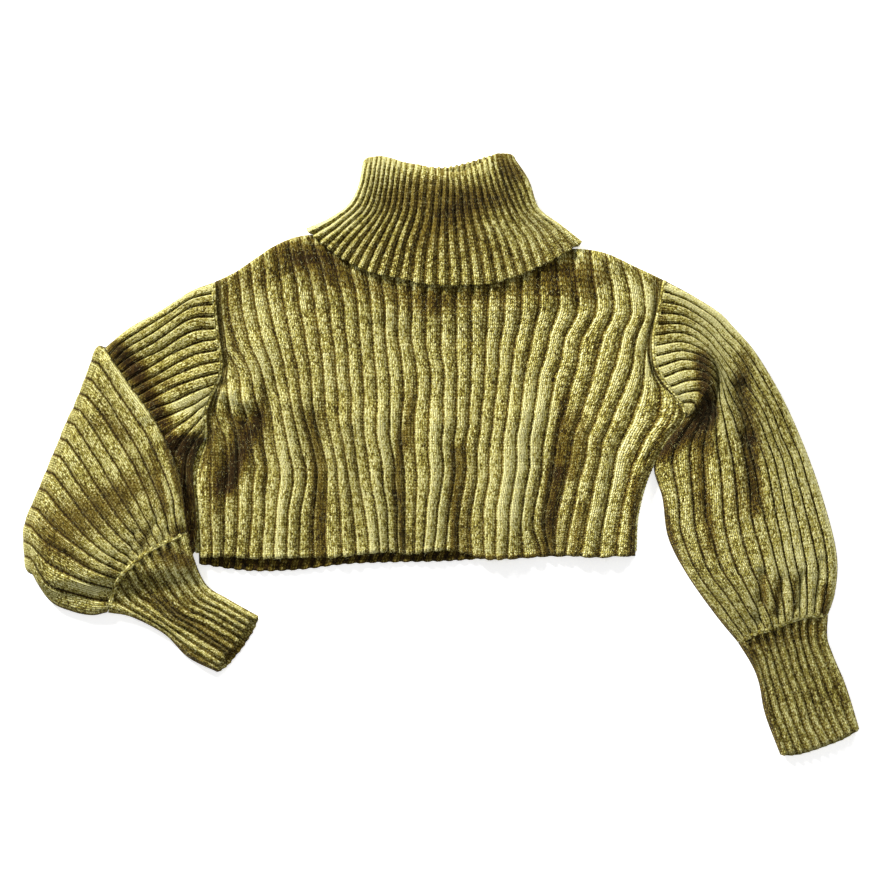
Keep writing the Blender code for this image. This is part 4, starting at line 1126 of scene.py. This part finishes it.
def flattened(front, back, low, high, radius, ribs):
    """The heights of a flattened ring's two sides between two levels, its edges rounded."""
    middle, half = (low + high) / 2, (high - low) / 2
    front_ribs, back_ribs = ribs
    to_left = np.linalg.norm(back[..., :2] - front[:, :1, :2], axis=-1)
    to_right = np.linalg.norm(back[..., :2] - front[:, -1:, :2], axis=-1)
    back_edge = bulge(np.minimum(to_left, to_right), radius)
    return (middle + (half + front_ribs) * bulge(from_edges(front), radius),
            middle - half * back_edge + back_ribs * back_edge)


def collar_rows(shape, u, shares, levels, lights, ribs=(0.0, 0.0)):
    """Rows round the collar. `shape` gives its plan, and `levels` are its low and its high one
    and the radius of its edges. Shares, lights and ribs are pairs, for the front and the back."""
    front, back = shape(shares[0], True), shape(shares[1], False)
    top, low = flattened(front, back, *levels, ribs)
    wales, courses = COLLAR_RIBS * NARROW.wales, COLLAR_LENGTH / COURSE
    return ring(skin(front, top, lights[0], u, shares[0], wales, courses),
                skin(back, low, lights[1], u, shares[1], wales, courses))


def turnover_ribs(front, crest, u):
    """The height of the turnover's ribs: less at its rounded loose edge and at the top fold."""
    to_edge = to_last_row(front[::-1])[::-1]
    ribs = NARROW.height * crest[None, :] * bulge(to_edge + COLLAR_START, HEM_RADIUS)
    ribs = ribs * np.interp(u, *zip(*FOLD_RIBS))[:, None]
    return ribs + UNEVEN_HEIGHT * waves(front, COLLAR_HEIGHT_SEED, COLLAR_UNEVEN_LENGTH)


def collar():
    """The roll collar: a stand on the neckline, folded over at the top."""
    v = rib_samples(COLLAR_RIBS, NARROW)
    w = plain_samples(COLLAR_RIBS, INSIDE_INSET * COLLAR_RIBS)
    outside, inside = (v, v[1:-1]), (w, plain_samples(COLLAR_RIBS)[1:-1])
    over_u, stand_u = rows_to_an_edge(TURNOVER_ROWS)[::-1], np.linspace(0.0, 1.0, STAND_ROWS)
    crest, crest_back = (rib_crest(shares, COLLAR_RIBS, NARROW) for shares in outside)

    high = TURNOVER_UNDER + WALL + TURNOVER_BULGE * np.sin(np.pi * over_u)[:, None]
    stand_inside = COLLAR_BACK_LEVEL + WALL
    stand_top = stand_inside + LAYER_GAP
    front = turnover(v, True)
    ribs = turnover_ribs(front, crest, over_u)
    shown = smooth(1.0 - stand_u / STAND_SHOWN)[:, None]
    stand_ribs = NARROW.height * STAND_RIBS * crest_back[None, :] * shown
    rib_lights = (crest + rib_light(v, COLLAR_RIBS, NARROW))[None, :]
    light = lit(front, rib_lights, NO_FOLDS, COLLAR_SHADES)
    plain = (INSIDE_LIGHT, INSIDE_LIGHT)

    over_outside = collar_rows(
        turnover, over_u, outside, (0.0, high, 2 * WALL), (light, crest_back), (ribs, 0.0))
    over_inside = collar_rows(
        turnover, over_u, inside, (WALL, high - WALL, TURNOVER_INNER_RADIUS), plain)
    stand_inner = collar_rows(
        stand, -stand_u, outside, (stand_inside, stand_top, WALL), (crest, crest_back), (0.0, stand_ribs))
    stand_outer = collar_rows(
        stand, -stand_u, inside, (COLLAR_BACK_LEVEL, stand_top + WALL, WALL), plain)
    return wall_object(
        "collar_knit", folded_over(over_outside, stand_inner, COLLAR_FOLD_OUTWARDS),
        folded_over(over_inside, stand_outer, COLLAR_FOLD_OUTWARDS),
        ring_shares(*outside), ring_shares(*inside), closed=True)


# ---------------------------------------------------------------- sleeves and cuffs

# What a tube's layers need: its sections, what it lies on, its folds, and how it is ribbed.
# `mouth` is how far its upper layer stays back from its last edge, where that edge is loose.
Tube = namedtuple("Tube", "sections lies_on folds shades ribs rib courses seed mouth")


def at_mouth(tube, grid, crest, upper, inside):
    """The plan of a tube with its loose edge scalloped and its upper layer's edge drawn back."""
    if not inside:
        grid = scalloped(grid, crest, TUBE_SCALLOP_REACH)
    if upper:
        back = smooth(1.0 - to_last_row(grid) / MOUTH_REACH) * smooth(from_edges(grid) / MOUTH_CORNER)
        grid = drawn_out(grid, -tube.mouth * back)
    return grid


def hollow_side(top, low, upper, at_edges):
    """The height of a tube's inside, a wall's thickness in from its upper or lower layer."""
    middle = (top + low) / 2
    floor = np.minimum(low + WALL, middle - LEAST_SLIT / 2)
    ceiling = np.maximum(top - WALL, middle + LEAST_SLIT / 2)
    ceiling = np.minimum(ceiling, floor + MOST_SLIT)
    return np.where(at_edges[None, :], (floor + ceiling) / 2, ceiling if upper else floor)


def tube_layer(tube, u, v, upper, rib_share, inside=False):
    """The upper or lower layer of a flattened tube: its outside, or a wall's thickness in."""
    full = np.concatenate([[0.0], v[(v > 0) & (v < 1)], [1.0]])
    crest = rib_crest(full, tube.ribs, tube.rib)[None, :] * np.ones((len(u), 1))
    grid = uneven(plan(tube.sections, u, full), tube.folds, tube.seed)
    under, own_loft = tube.lies_on(grid), grid[..., 2]
    loft = np.maximum(own_loft + folded(grid, tube.folds), np.minimum(own_loft, 2 * WALL + LEAST_SLIT))
    edge = bulge(from_edges(grid), TUBE_RADIUS)
    if tube.mouth is not None:
        edge = edge * bulge(to_last_row(grid) + MOUTH_START, HEM_RADIUS + MOUTH_START)
        grid = at_mouth(tube, grid, crest, upper, inside)

    top, low = under + loft / 2 + loft / 2 * edge, under + loft / 2 - loft / 2 * edge
    height = top if upper else low
    if inside:
        height = hollow_side(top, low, upper, (full < v[0] + TINY) | (full > v[-1] - TINY))
        crest = np.full_like(height, INSIDE_LIGHT)
    elif upper:
        ribs = tube.rib.height * crest * np.asarray(rib_share)[:, None]
        bumps = UNEVEN_HEIGHT * waves(grid, tube.seed + HEIGHT_SEED_STEP, UNEVEN_LENGTH)
        height = top + edge * (ribs + bumps)
    light = lit(grid, crest + rib_light(full, tube.ribs, tube.rib), tube.folds, tube.shades)
    made = skin(grid, height, light, u, full, tube.ribs * tube.rib.wales, tube.courses)
    return made[:, np.isin(full, v)]


def tube_rows(tube, u, shares, rib_share, upper_first=True, inside=False):
    """Rows round a tube, along one layer and back along the other. The upper one is ribbed."""
    first, second = shares
    return ring(tube_layer(tube, u, first, upper_first, rib_share, inside),
                tube_layer(tube, u, second, not upper_first, rib_share, inside))


def inner_edge(sections, ribs):
    """The share of a rib that a wall's thickness takes up at a tube's edge."""
    widths = [run_along(np.array(section.points)[:, :2])[-1] for section in sections]
    return WALL * ribs / min(widths)


def tube_object(name, tube, u):
    """A flattened tube with its ribs on the upper side and a plain underside."""
    outside = rib_samples(tube.ribs, tube.rib), plain_samples(2 * tube.ribs)[1:-1]
    w = plain_samples(tube.ribs, inner_edge(tube.sections, tube.ribs))
    inside = w, plain_samples(tube.ribs)[1:-1]
    all_ribs = np.ones(len(u))
    outer = tube_rows(tube, u, outside, all_ribs)
    inner = tube_rows(tube, u, inside, all_ribs, inside=True)
    return wall_object(name, outer, inner, ring_shares(*outside), ring_shares(*inside), closed=True)


def seam_line(edge, last_at, aside):
    """The panels' side edge from the shoulder down to the underarm, moved aside."""
    rows = np.linspace(0.0, last_at, ARMHOLE_POINTS)
    line = plan((*BODY, FRONT_HEM), rows, [edge])[:, 0]
    run = run_along(line)
    even = np.linspace(0.0, 1.0, ARMHOLE_POINTS) * run[-1]
    points = np.stack([np.interp(even, run, line[:, k]) for k in (0, 1)], axis=-1)
    return points + np.array([aside, 0.0])


def armhole(edge, last_at, outwards):
    """The sleeve's first section, a seam's gap out from the panels."""
    points = seam_line(edge, last_at, outwards * SEAM_GAP)
    known = np.linspace(0, 1, len(ARMHOLE_LOFT))
    loft = np.interp(np.linspace(0, 1, ARMHOLE_POINTS), known, ARMHOLE_LOFT)
    return Section("armhole", 0.0, tuple(zip(*points.T, loft)))


def cuff_seam(sleeve_end, cuff_start):
    """A cuff's first section: the sleeve's last, a seam's gap further on."""
    points = np.array(sleeve_end.points, float)[:, :2]
    onwards = np.array(cuff_start.points, float)[:, :2] - points
    points += SEAM_GAP * onwards / np.linalg.norm(onwards, axis=1, keepdims=True)
    return Section("cuff seam", 0.0, tuple(zip(*points.T, CUFF_SEAM_LOFT)))


def sleeve_left():
    """The sleeve that is folded back over itself, one tube round the fold."""
    ribs, half = SLEEVE_LEFT_RIBS, SLEEVE_COURSES / 2
    seam = armhole(LEFT_EDGE, LEFT_UNDERARM_AT, outwards=-1)
    near = Tube((seam, *SLEEVE_LEFT_UPPER), no_lift, SLEEVE_LEFT_FOLDS, SLEEVE_LEFT_SHADES,
                ribs, FULL, half, seed=41, mouth=None)
    far = Tube(SLEEVE_LEFT_LOWER, drape, LOWER_STRETCH_FOLDS, LOWER_STRETCH_SHADES,
               ribs, FULL, half, seed=47, mouth=None)
    u_near, u_far = np.linspace(0, 1, UPPER_STRETCH_ROWS), np.linspace(0, 1, LOWER_STRETCH_ROWS)
    near_ribs = np.interp(u_near, *zip(*UPPER_STRETCH_RIBS))
    far_ribs = np.interp(u_far, *zip(*LOWER_STRETCH_RIBS))
    v, w = rib_samples(ribs, FULL), plain_samples(ribs, inner_edge(near.sections, ribs))
    outside, inside = (v, v[1:-1]), (w, plain_samples(ribs)[1:-1])

    # What lies up on the near stretch lies down on the far one
    outer = folded_over(
        tube_rows(near, u_near, outside, near_ribs),
        tube_rows(far, u_far, outside, far_ribs, upper_first=False), BACK_FOLD_OUTWARDS)
    inner = folded_over(
        tube_rows(near, u_near, inside, near_ribs, inside=True),
        tube_rows(far, u_far, inside, far_ribs, upper_first=False, inside=True), BACK_FOLD_OUTWARDS)
    return wall_object("sleeve_left_knit", outer, inner,
                       ring_shares(*outside), ring_shares(*inside), closed=True)


def sleeve_right():
    """The sleeve that bends down, with a tuck at its inner side."""
    sections = (armhole(RIGHT_EDGE, RIGHT_UNDERARM_AT, outwards=1), *SLEEVE_RIGHT)
    tube = Tube(sections, no_lift, SLEEVE_RIGHT_FOLDS, SLEEVE_RIGHT_SHADES,
                SLEEVE_RIGHT_RIBS, FULL, SLEEVE_COURSES, seed=53, mouth=None)
    return tube_object("sleeve_right_knit", tube, np.linspace(0, 1, SLEEVE_RIGHT_ROWS))


def cuffs():
    """A ribbed cuff for each sleeve."""
    left = Tube((cuff_seam(SLEEVE_LEFT_LOWER[-1], CUFF_LEFT[0]), *CUFF_LEFT), drape,
                CUFF_LEFT_FOLDS, CUFF_LEFT_SHADES, CUFF_RIBS, NARROW, CUFF_COURSES, seed=61, mouth=8.0)
    right = Tube((cuff_seam(SLEEVE_RIGHT[-1], CUFF_RIGHT[0]), *CUFF_RIGHT), no_lift,
                 NO_FOLDS, CUFF_RIGHT_SHADES, CUFF_RIBS, NARROW, CUFF_COURSES, seed=67, mouth=3.0)
    u = rows_to_an_edge(CUFF_ROWS)
    return [tube_object("cuff_left_knit", left, u), tube_object("cuff_right_knit", right, u)]


# ---------------------------------------------------------------- linking seams


def ridge(name, line, height, radius):
    """A round ridge of loops along a line of points in plan, at a height."""
    points = np.column_stack([line, np.broadcast_to(height, len(line))])
    run = run_along(points)
    along = np.arange(0.0, run[-1], RIDGE_STEP)
    middle = through(points, run, along)
    way = np.gradient(middle, axis=0)
    way /= np.linalg.norm(way, axis=1, keepdims=True)
    side = np.cross(way, (0.0, 0.0, 1.0))
    side /= np.linalg.norm(side, axis=1, keepdims=True)
    above = np.cross(side, way)

    swell = 1.0 + RIDGE_SWELL * np.cos(TURN * along / RIDGE_LOOP)
    to_end = np.minimum(along, along[-1] - along)
    size = radius * swell * bulge(to_end + RIDGE_TIP * radius, RIDGE_TAPER * radius)
    angles = np.linspace(0.0, TURN, RIDGE_SIDES, endpoint=False)
    turn = np.cos(angles)[:, None] * side[:, None] + np.sin(angles)[:, None] * above[:, None]
    rows = np.zeros((len(along), RIDGE_SIDES, CHANNELS))
    rows[..., :3] = middle[:, None] + size[:, None, None] * turn
    rows[..., 3] = RIDGE_LIGHT
    rows[..., 4] = 0.5 + np.cos(angles)[None, :] * 0.5
    rows[..., 5] = (along / RIDGE_LOOP)[:, None]
    index = vertex_numbers(rows)
    faces = skin_faces(index, True) + [tuple(index[0][::-1].tolist()), tuple(index[-1].tolist())]
    return knit_object(name, rows.reshape(-1, CHANNELS), faces)


def armhole_ridge(name, edge, last_at, outwards, height):
    """The linked seam between a sleeve and the panels."""
    return ridge(name, seam_line(edge, last_at, outwards * SEAM_GAP / 2), height, SEAM_RADIUS)


def side_ridge(name, edge, first_at, radius, aside):
    """Closes the panels' side edge from the underarm down to the hem, set a little aside."""
    line = plan((*BODY, FRONT_HEM), np.linspace(first_at, SIDE_SEAM_END, SEAM_POINTS), [edge])[:, 0]
    return ridge(name, line + np.array([aside, 0.0]), SIDE_SEAM_HEIGHT, radius)


def shoulder_ridge(name, first, last):
    """Closes the panels' top edges from the armhole to the neck."""
    line = plan(BODY, [0.0], np.linspace(first, last, SEAM_POINTS))
    height = PANEL_STEP + collar_lift(line)[0] - LAYER_GAP / 2
    inwards = np.array([0.0, SHOULDER_SEAM_RADIUS * SHOULDER_SEAM_INSET])
    return ridge(name, line[0] - inwards, height, SHOULDER_SEAM_RADIUS)


def cuff_ridge(name, sleeve_end, cuff_start, lies_on):
    """The linked seam over a sleeve's gathered end."""
    section = cuff_seam(sleeve_end, cuff_start)
    points = across(section.points, np.linspace(*CUFF_SEAM_SPAN))
    grid = points[None]
    edge = bulge(from_edges(grid), TUBE_RADIUS)[0]
    height = lies_on(grid)[0] + points[:, 2] / 2 + (points[:, 2] / 2 + CUFF_SEAM_LIFT) * edge
    return ridge(name, points[:, :2], height, SEAM_RADIUS)


def seams():
    """Every seam that joins two of the knitted pieces."""
    return [
        armhole_ridge("armhole_seam_left", LEFT_EDGE, LEFT_UNDERARM_AT, outwards=-1, height=8.0),
        armhole_ridge("armhole_seam_right", RIGHT_EDGE, RIGHT_UNDERARM_AT, outwards=1, height=8.4),
        side_ridge("side_seam_left", LEFT_EDGE, LEFT_UNDERARM_AT, radius=3.2, aside=-2.2),
        side_ridge("side_seam_right", RIGHT_EDGE, RIGHT_SEAM_FROM, radius=2.8, aside=-0.8),
        shoulder_ridge("shoulder_seam_left", LEFT_EDGE, NECKLINE[0]),
        shoulder_ridge("shoulder_seam_right", NECKLINE[1], RIGHT_EDGE),
        cuff_ridge("cuff_seam_left", SLEEVE_LEFT_LOWER[-1], CUFF_LEFT[0], drape),
        cuff_ridge("cuff_seam_right", SLEEVE_RIGHT[-1], CUFF_RIGHT[0], no_lift),
    ]


# ---------------------------------------------------------------- fibres


def roots_on(knit, count, rng):
    """Random places on the faces of a mesh that look up, and the way each face looks."""
    faces = len(knit.polygons)
    places, facings, areas = np.empty(3 * faces), np.empty(3 * faces), np.empty(faces)
    for field, values in (("center", places), ("normal", facings), ("area", areas)):
        knit.polygons.foreach_get(field, values)
    places, facings = places.reshape(-1, 3) / MM, facings.reshape(-1, 3)
    weight = areas * (facings[:, 2] > FIBRE_LEAST_FACING)
    chosen = rng.choice(faces, count, p=weight / weight.sum())
    return places[chosen], facings[chosen]


def fuzz(spec):
    """Loose fibres that stand on a piece's upper faces, each a thin bent spindle."""
    rng = np.random.default_rng(spec.seed)
    count = spec.count
    root, facing = roots_on(bpy.data.objects[spec.piece].data, count, rng)
    length = FIBRE_LENGTH * rng.lognormal(0.0, FIBRE_SPREAD, count)[:, None]
    lean = rng.normal(size=(count, 3))
    lean -= np.sum(lean * facing, axis=1, keepdims=True) * facing
    lean /= np.linalg.norm(lean, axis=1, keepdims=True)
    rise = rng.uniform(*FIBRE_RISE, (count, 1))
    way = lean * np.sqrt(1.0 - rise**2) + facing * rise
    aside = np.cross(way, facing)
    aside /= np.maximum(np.linalg.norm(aside, axis=1, keepdims=True), TINY)
    bend = aside * rng.normal(0.0, FIBRE_BEND, (count, 1)) * length
    root = root + rng.normal(0.0, FIBRE_SCATTER, (count, 3)) - FIBRE_ROOT_DEPTH * facing
    middle, tip = root + 0.5 * length * way + bend, root + length * way
    for point, least in ((middle, FIBRE_MIDDLE_LEAST), (tip, FIBRE_TIP_LEAST)):
        point[:, 2] = np.maximum(point[:, 2], least)

    # A spindle: the root, three corners round the middle, and the tip
    upwards = np.cross(aside, way)
    corners = [middle + FIBRE_RADIUS * (np.cos(angle) * aside + np.sin(angle) * upwards)
               for angle in np.linspace(0.0, TURN, 3, endpoint=False)]
    points = np.stack([root, *corners, tip], axis=1)
    pattern = np.array([(0, 2, 1), (0, 3, 2), (0, 1, 3), (4, 1, 2), (4, 2, 3), (4, 3, 1)])
    faces = np.arange(count)[:, None, None] * points.shape[1] + pattern
    data = new_mesh(spec.name, points.reshape(-1, 3), faces.reshape(-1, 3).tolist())
    return mesh_object(spec.name, data, fibre_material())


# ---------------------------------------------------------------- materials

WHITE = (1.0, 1.0, 1.0, 1.0)
OBJECT_PLACE = 3  # outputs of the nodes, by number
NOISE_COLOUR = 1
ATTRIBUTE_VALUE = 2
MIX_SOCKETS = (0, 6, 7)  # a colour Mix node's share, its first and its second colour
MIX_RESULT = 2


class Nodes:
    """Adds nodes to a material, each with its settings and inputs in one call."""

    def __init__(self, name):
        self.material = bpy.data.materials.new(name)
        self.material.use_nodes = True
        self.tree = self.material.node_tree
        self.shader = self.tree.nodes["Principled BSDF"]

    def add(self, kind, inputs=(), output=0, **settings):
        node = self.tree.nodes.new(kind)
        for setting, value in settings.items():
            setattr(node, setting, value)
        self.fill(node, inputs)
        return node.outputs[output]

    def fill(self, node, inputs):
        for key, value in dict(inputs).items():
            if isinstance(value, bpy.types.NodeSocket):
                self.tree.links.new(value, node.inputs[key])
            else:
                node.inputs[key].default_value = value

    def maths(self, operation, *values):
        return self.add("ShaderNodeMath", enumerate(values), operation=operation)

    def plus(self, first, second):
        return self.maths("ADD", first, second)

    def minus(self, first, second):
        return self.maths("SUBTRACT", first, second)

    def times(self, first, second):
        return self.maths("MULTIPLY", first, second)

    def rounded(self, value, power):
        """1 where the value is 0, down to 0 where it is 1 or -1."""
        return self.minus(1.0, self.maths("POWER", self.maths("ABSOLUTE", value), power))

    def vectors(self, operation, *values):
        return self.add("ShaderNodeVectorMath", enumerate(values), operation=operation)

    def ranged(self, value, low, high, at_low, at_high, **settings):
        """What runs from `at_low` to `at_high` as the value runs from `low` to `high`."""
        inputs = enumerate((value, low, high, at_low, at_high))
        return self.add("ShaderNodeMapRange", inputs, **settings)

    def ramp(self, share, stops):
        node = self.tree.nodes.new("ShaderNodeValToRGB")
        self.tree.links.new(share, node.inputs[0])
        ramp = node.color_ramp
        while len(ramp.elements) < len(stops):
            ramp.elements.new(0.5)
        for element, (at, colour) in zip(ramp.elements, stops):
            element.position, element.color = at, (*colour, 1.0)
        return node.outputs[0]

    def noise(self, vector, scale, detail=2.0, roughness=0.5, output=0):
        return self.add("ShaderNodeTexNoise", {
            "Vector": vector, "Scale": scale, "Detail": detail, "Roughness": roughness}, output)

    def mixed(self, share, first, second, blend="MIX"):
        inputs = zip(MIX_SOCKETS, (share, first, second))
        return self.add("ShaderNodeMix", inputs, MIX_RESULT, data_type="RGBA", blend_type=blend)


# A stitch as sockets: how far a point lies from its wale's middle, how round its loop is there,
# its height, the painted shade in the furrow beside the wale, and the number of its leg
Stitch = namedtuple("Stitch", "aside loop_round height furrow number")


def stitch_form(nodes, stitches):
    """Each wale is a column of Vs: two slanting legs side by side. No two are quite alike."""
    drift = nodes.noise(stitches, STITCH_DRIFT_SCALE, output=NOISE_COLOUR)
    drift = nodes.vectors("SUBTRACT", drift, (0.5, 0.5, 0.5))
    warped = nodes.vectors("ADD", stitches, nodes.vectors("MULTIPLY", drift, STITCH_DRIFT))
    wale, course = (nodes.add("ShaderNodeSeparateXYZ", {0: warped}, axis) for axis in (0, 1))

    aside = nodes.maths("ABSOLUTE", nodes.minus(nodes.maths("FRACT", wale), 0.5))
    slanted = nodes.plus(course, nodes.times(aside, STITCH_SLANT))
    leg = nodes.times(nodes.minus(aside, 0.25), 4.0)
    loop = nodes.times(nodes.minus(nodes.maths("FRACT", slanted), 0.5), 2.0)
    loop_round = nodes.rounded(loop, LOOP_POWER)
    along = nodes.maths("MULTIPLY_ADD", loop_round, LOOP_SHARE, 1.0 - LOOP_SHARE)
    height = nodes.times(nodes.rounded(leg, LEG_POWER), along)
    # painted shade in the furrow beside the wale
    furrow = nodes.ranged(aside, FURROW_FROM, 0.5, 0.0, FURROW_SHADE)
    number = nodes.add("ShaderNodeCombineXYZ", {
        0: nodes.maths("FLOOR", nodes.times(wale, 2.0)), 1: nodes.maths("FLOOR", slanted)})
    return Stitch(aside, loop_round, height, furrow, number)


def stitch_light(nodes, stitches, stitch):
    """The light attribute, varied by the bumps of purl stitches and the middles of loops."""
    purl = nodes.vectors("MULTIPLY", stitches, PURL_STRETCH)
    purl = nodes.minus(nodes.noise(purl, PURL_SCALE, detail=3.0, roughness=0.6), 0.5)
    light = nodes.add("ShaderNodeAttribute", (), ATTRIBUTE_VALUE, attribute_name="light")
    light = nodes.maths("MULTIPLY_ADD", purl, PURL_LIGHT, light)
    wale_round = nodes.minus(1.0, nodes.times(4.0, nodes.times(stitch.aside, stitch.aside)))
    knot = nodes.minus(nodes.times(wale_round, stitch.loop_round), KNOT_MIDDLE)
    return nodes.maths("MULTIPLY_ADD", knot, KNOT_LIGHT, light)


def yarn_colour(nodes, place, stitch, light, fibre):
    """Each leg of a stitch is its own tone, and the yarn's fibres vary along it. Painted light
    lifts the tone where the light is high.
    """
    tone = nodes.add("ShaderNodeTexWhiteNoise", {"Vector": stitch.number}, noise_dimensions="2D")
    patch = nodes.minus(nodes.noise(place, PATCH_SCALE), 0.5)
    marl = nodes.plus(nodes.times(tone, TONE_WEIGHT), nodes.times(fibre, FIBRE_WEIGHT))
    marl = nodes.plus(marl, nodes.minus(nodes.ranged(light, *PAINTED_LIGHT_TONE), MARL_MIDDLE))
    return nodes.ramp(nodes.plus(marl, nodes.times(patch, PATCH_WEIGHT)), YARN_TONES)


def valley_shade(nodes, stitch, light):
    """The painted shade: what is left of the yarn's colour between stitches and wales, in valleys
    and in hollows.
    """
    depth = nodes.ranged(light, *VALLEY_RANGE, interpolation_type="SMOOTHSTEP")
    # painted shade in the gaps between stitches
    between = nodes.ranged(stitch.height, 0.0, GAP_HEIGHT, GAP_SHADE, 0.0)
    covered = nodes.maths("MAXIMUM", depth, nodes.maths("MAXIMUM", between, stitch.furrow))
    hidden = nodes.ranged(light, -HIDDEN_DEPTH, 0.0, 1.0, 0.0)
    shade = nodes.mixed(covered, WHITE, (*VALLEY_TONE, 1.0))
    return nodes.mixed(hidden, shade, (*HOLLOW_TONE, 1.0))


def knit_material():
    """Marled olive wool in slanting stitches, with painted shade in the ribs' valleys, between
    stitches and in hollows, and painted light on lit wales and ridges.
    """
    found = bpy.data.materials.get("marled_knit")
    if found:
        return found
    nodes = Nodes("marled_knit")
    place = nodes.add("ShaderNodeTexCoord", (), OBJECT_PLACE)
    stitches = nodes.add("ShaderNodeUVMap", uv_map="stitches")
    fibre = nodes.noise(place, FIBRE_SCALE, detail=4.0, roughness=0.75)
    stitch = stitch_form(nodes, stitches)
    light = stitch_light(nodes, stitches, stitch)
    yarn = yarn_colour(nodes, place, stitch, light, fibre)
    colour = nodes.mixed(1.0, yarn, valley_shade(nodes, stitch, light), "MULTIPLY")

    fine = nodes.noise(place, FIBRE_SCALE * FINE_FIBRES)
    relief = nodes.plus(stitch.height, nodes.times(fine, FIBRE_RELIEF))
    bump = nodes.add("ShaderNodeBump", {
        "Height": relief, "Strength": STITCH_BUMP, "Distance": STITCH_DEPTH})
    nodes.fill(nodes.shader, {
        "Base Color": colour, "Normal": bump, "Roughness": nodes.ranged(fibre, 0.0, 1.0, *ROUGHNESS),
        "Specular IOR Level": 0.1, "Sheen Weight": 0.12, "Sheen Roughness": 0.45,
        "Sheen Tint": (*SHEEN_TINT, 1.0)})
    return nodes.material


def fibre_material():
    """The same wool, lighter where single fibres catch the light."""
    found = bpy.data.materials.get("olive_fibre")
    if found:
        return found
    nodes = Nodes("olive_fibre")
    place = nodes.add("ShaderNodeTexCoord", (), OBJECT_PLACE)
    tone = nodes.noise(place, FIBRE_SCALE * COARSE_FIBRES)
    nodes.fill(nodes.shader, {
        "Base Color": nodes.ramp(tone, FIBRE_TONES), "Roughness": 0.85, "Specular IOR Level": 0.2})
    return nodes.material


# ---------------------------------------------------------------- the stage


def floor():
    """A plain pale floor just under the garment."""
    sides = ((-1, -1), (1, -1), (1, 1), (-1, 1))
    data = bpy.data.meshes.new("floor")
    data.from_pydata([(x * FLOOR_HALF, y * FLOOR_HALF, FLOOR_DROP) for x, y in sides], [], [(0, 1, 2, 3)])
    nodes = Nodes("pale_floor")
    place = nodes.add("ShaderNodeTexCoord", (), OBJECT_PLACE)
    cloud = nodes.ramp(nodes.noise(place, FLOOR_CLOUDS), FLOOR_TONES)
    nodes.fill(nodes.shader, {
        "Base Color": cloud, "Roughness": 0.9, "Specular IOR Level": 0.1,
        "Emission Color": WHITE, "Emission Strength": FLOOR_GLOW})
    return mesh_object("floor", data, nodes.material)


def light_at(light):
    """A round lamp at its place, facing the garment."""
    data = bpy.data.lights.new(light.name, "AREA")
    data.shape, data.size, data.energy, data.color = "DISK", light.size, light.power, light.colour
    made = bpy.data.objects.new(light.name, data)
    made.location = light.place
    made.rotation_euler = (-Vector(light.place)).to_track_quat("-Z", "Y").to_euler()
    bpy.context.scene.collection.objects.link(made)


def lights_and_camera():
    """A soft key from the upper left, a pale sky, and a long lens straight above."""
    for light in LIGHTS:
        light_at(light)
    world = bpy.data.worlds.new("pale_sky")
    world.use_nodes = True
    sky = world.node_tree.nodes["Background"]
    sky.inputs["Color"].default_value = WHITE
    sky.inputs["Strength"].default_value = SKY_STRENGTH
    bpy.context.scene.world = world
    bpy.context.scene.view_settings.view_transform = "Standard"
    lens = bpy.data.cameras.new("camera")
    lens.lens = lens.sensor_width * CAMERA_HEIGHT / VIEW_WIDTH
    camera = bpy.data.objects.new("camera", lens)
    camera.location = (*VIEW_CENTRE, CAMERA_HEIGHT)
    bpy.context.scene.collection.objects.link(camera)
    bpy.context.scene.camera = camera


# ---------------------------------------------------------------- main


def main():
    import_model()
    lights_and_camera()
    floor()
    knits = [front_panel(), back_panel(), collar(), sleeve_left(), sleeve_right(), *cuffs()]
    pieces = knits + seams() + [fuzz(spec) for spec in FUZZ]
    for piece in pieces:
        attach(piece, "root")
    for cut in CUTS:
        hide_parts(cut.node)


main()
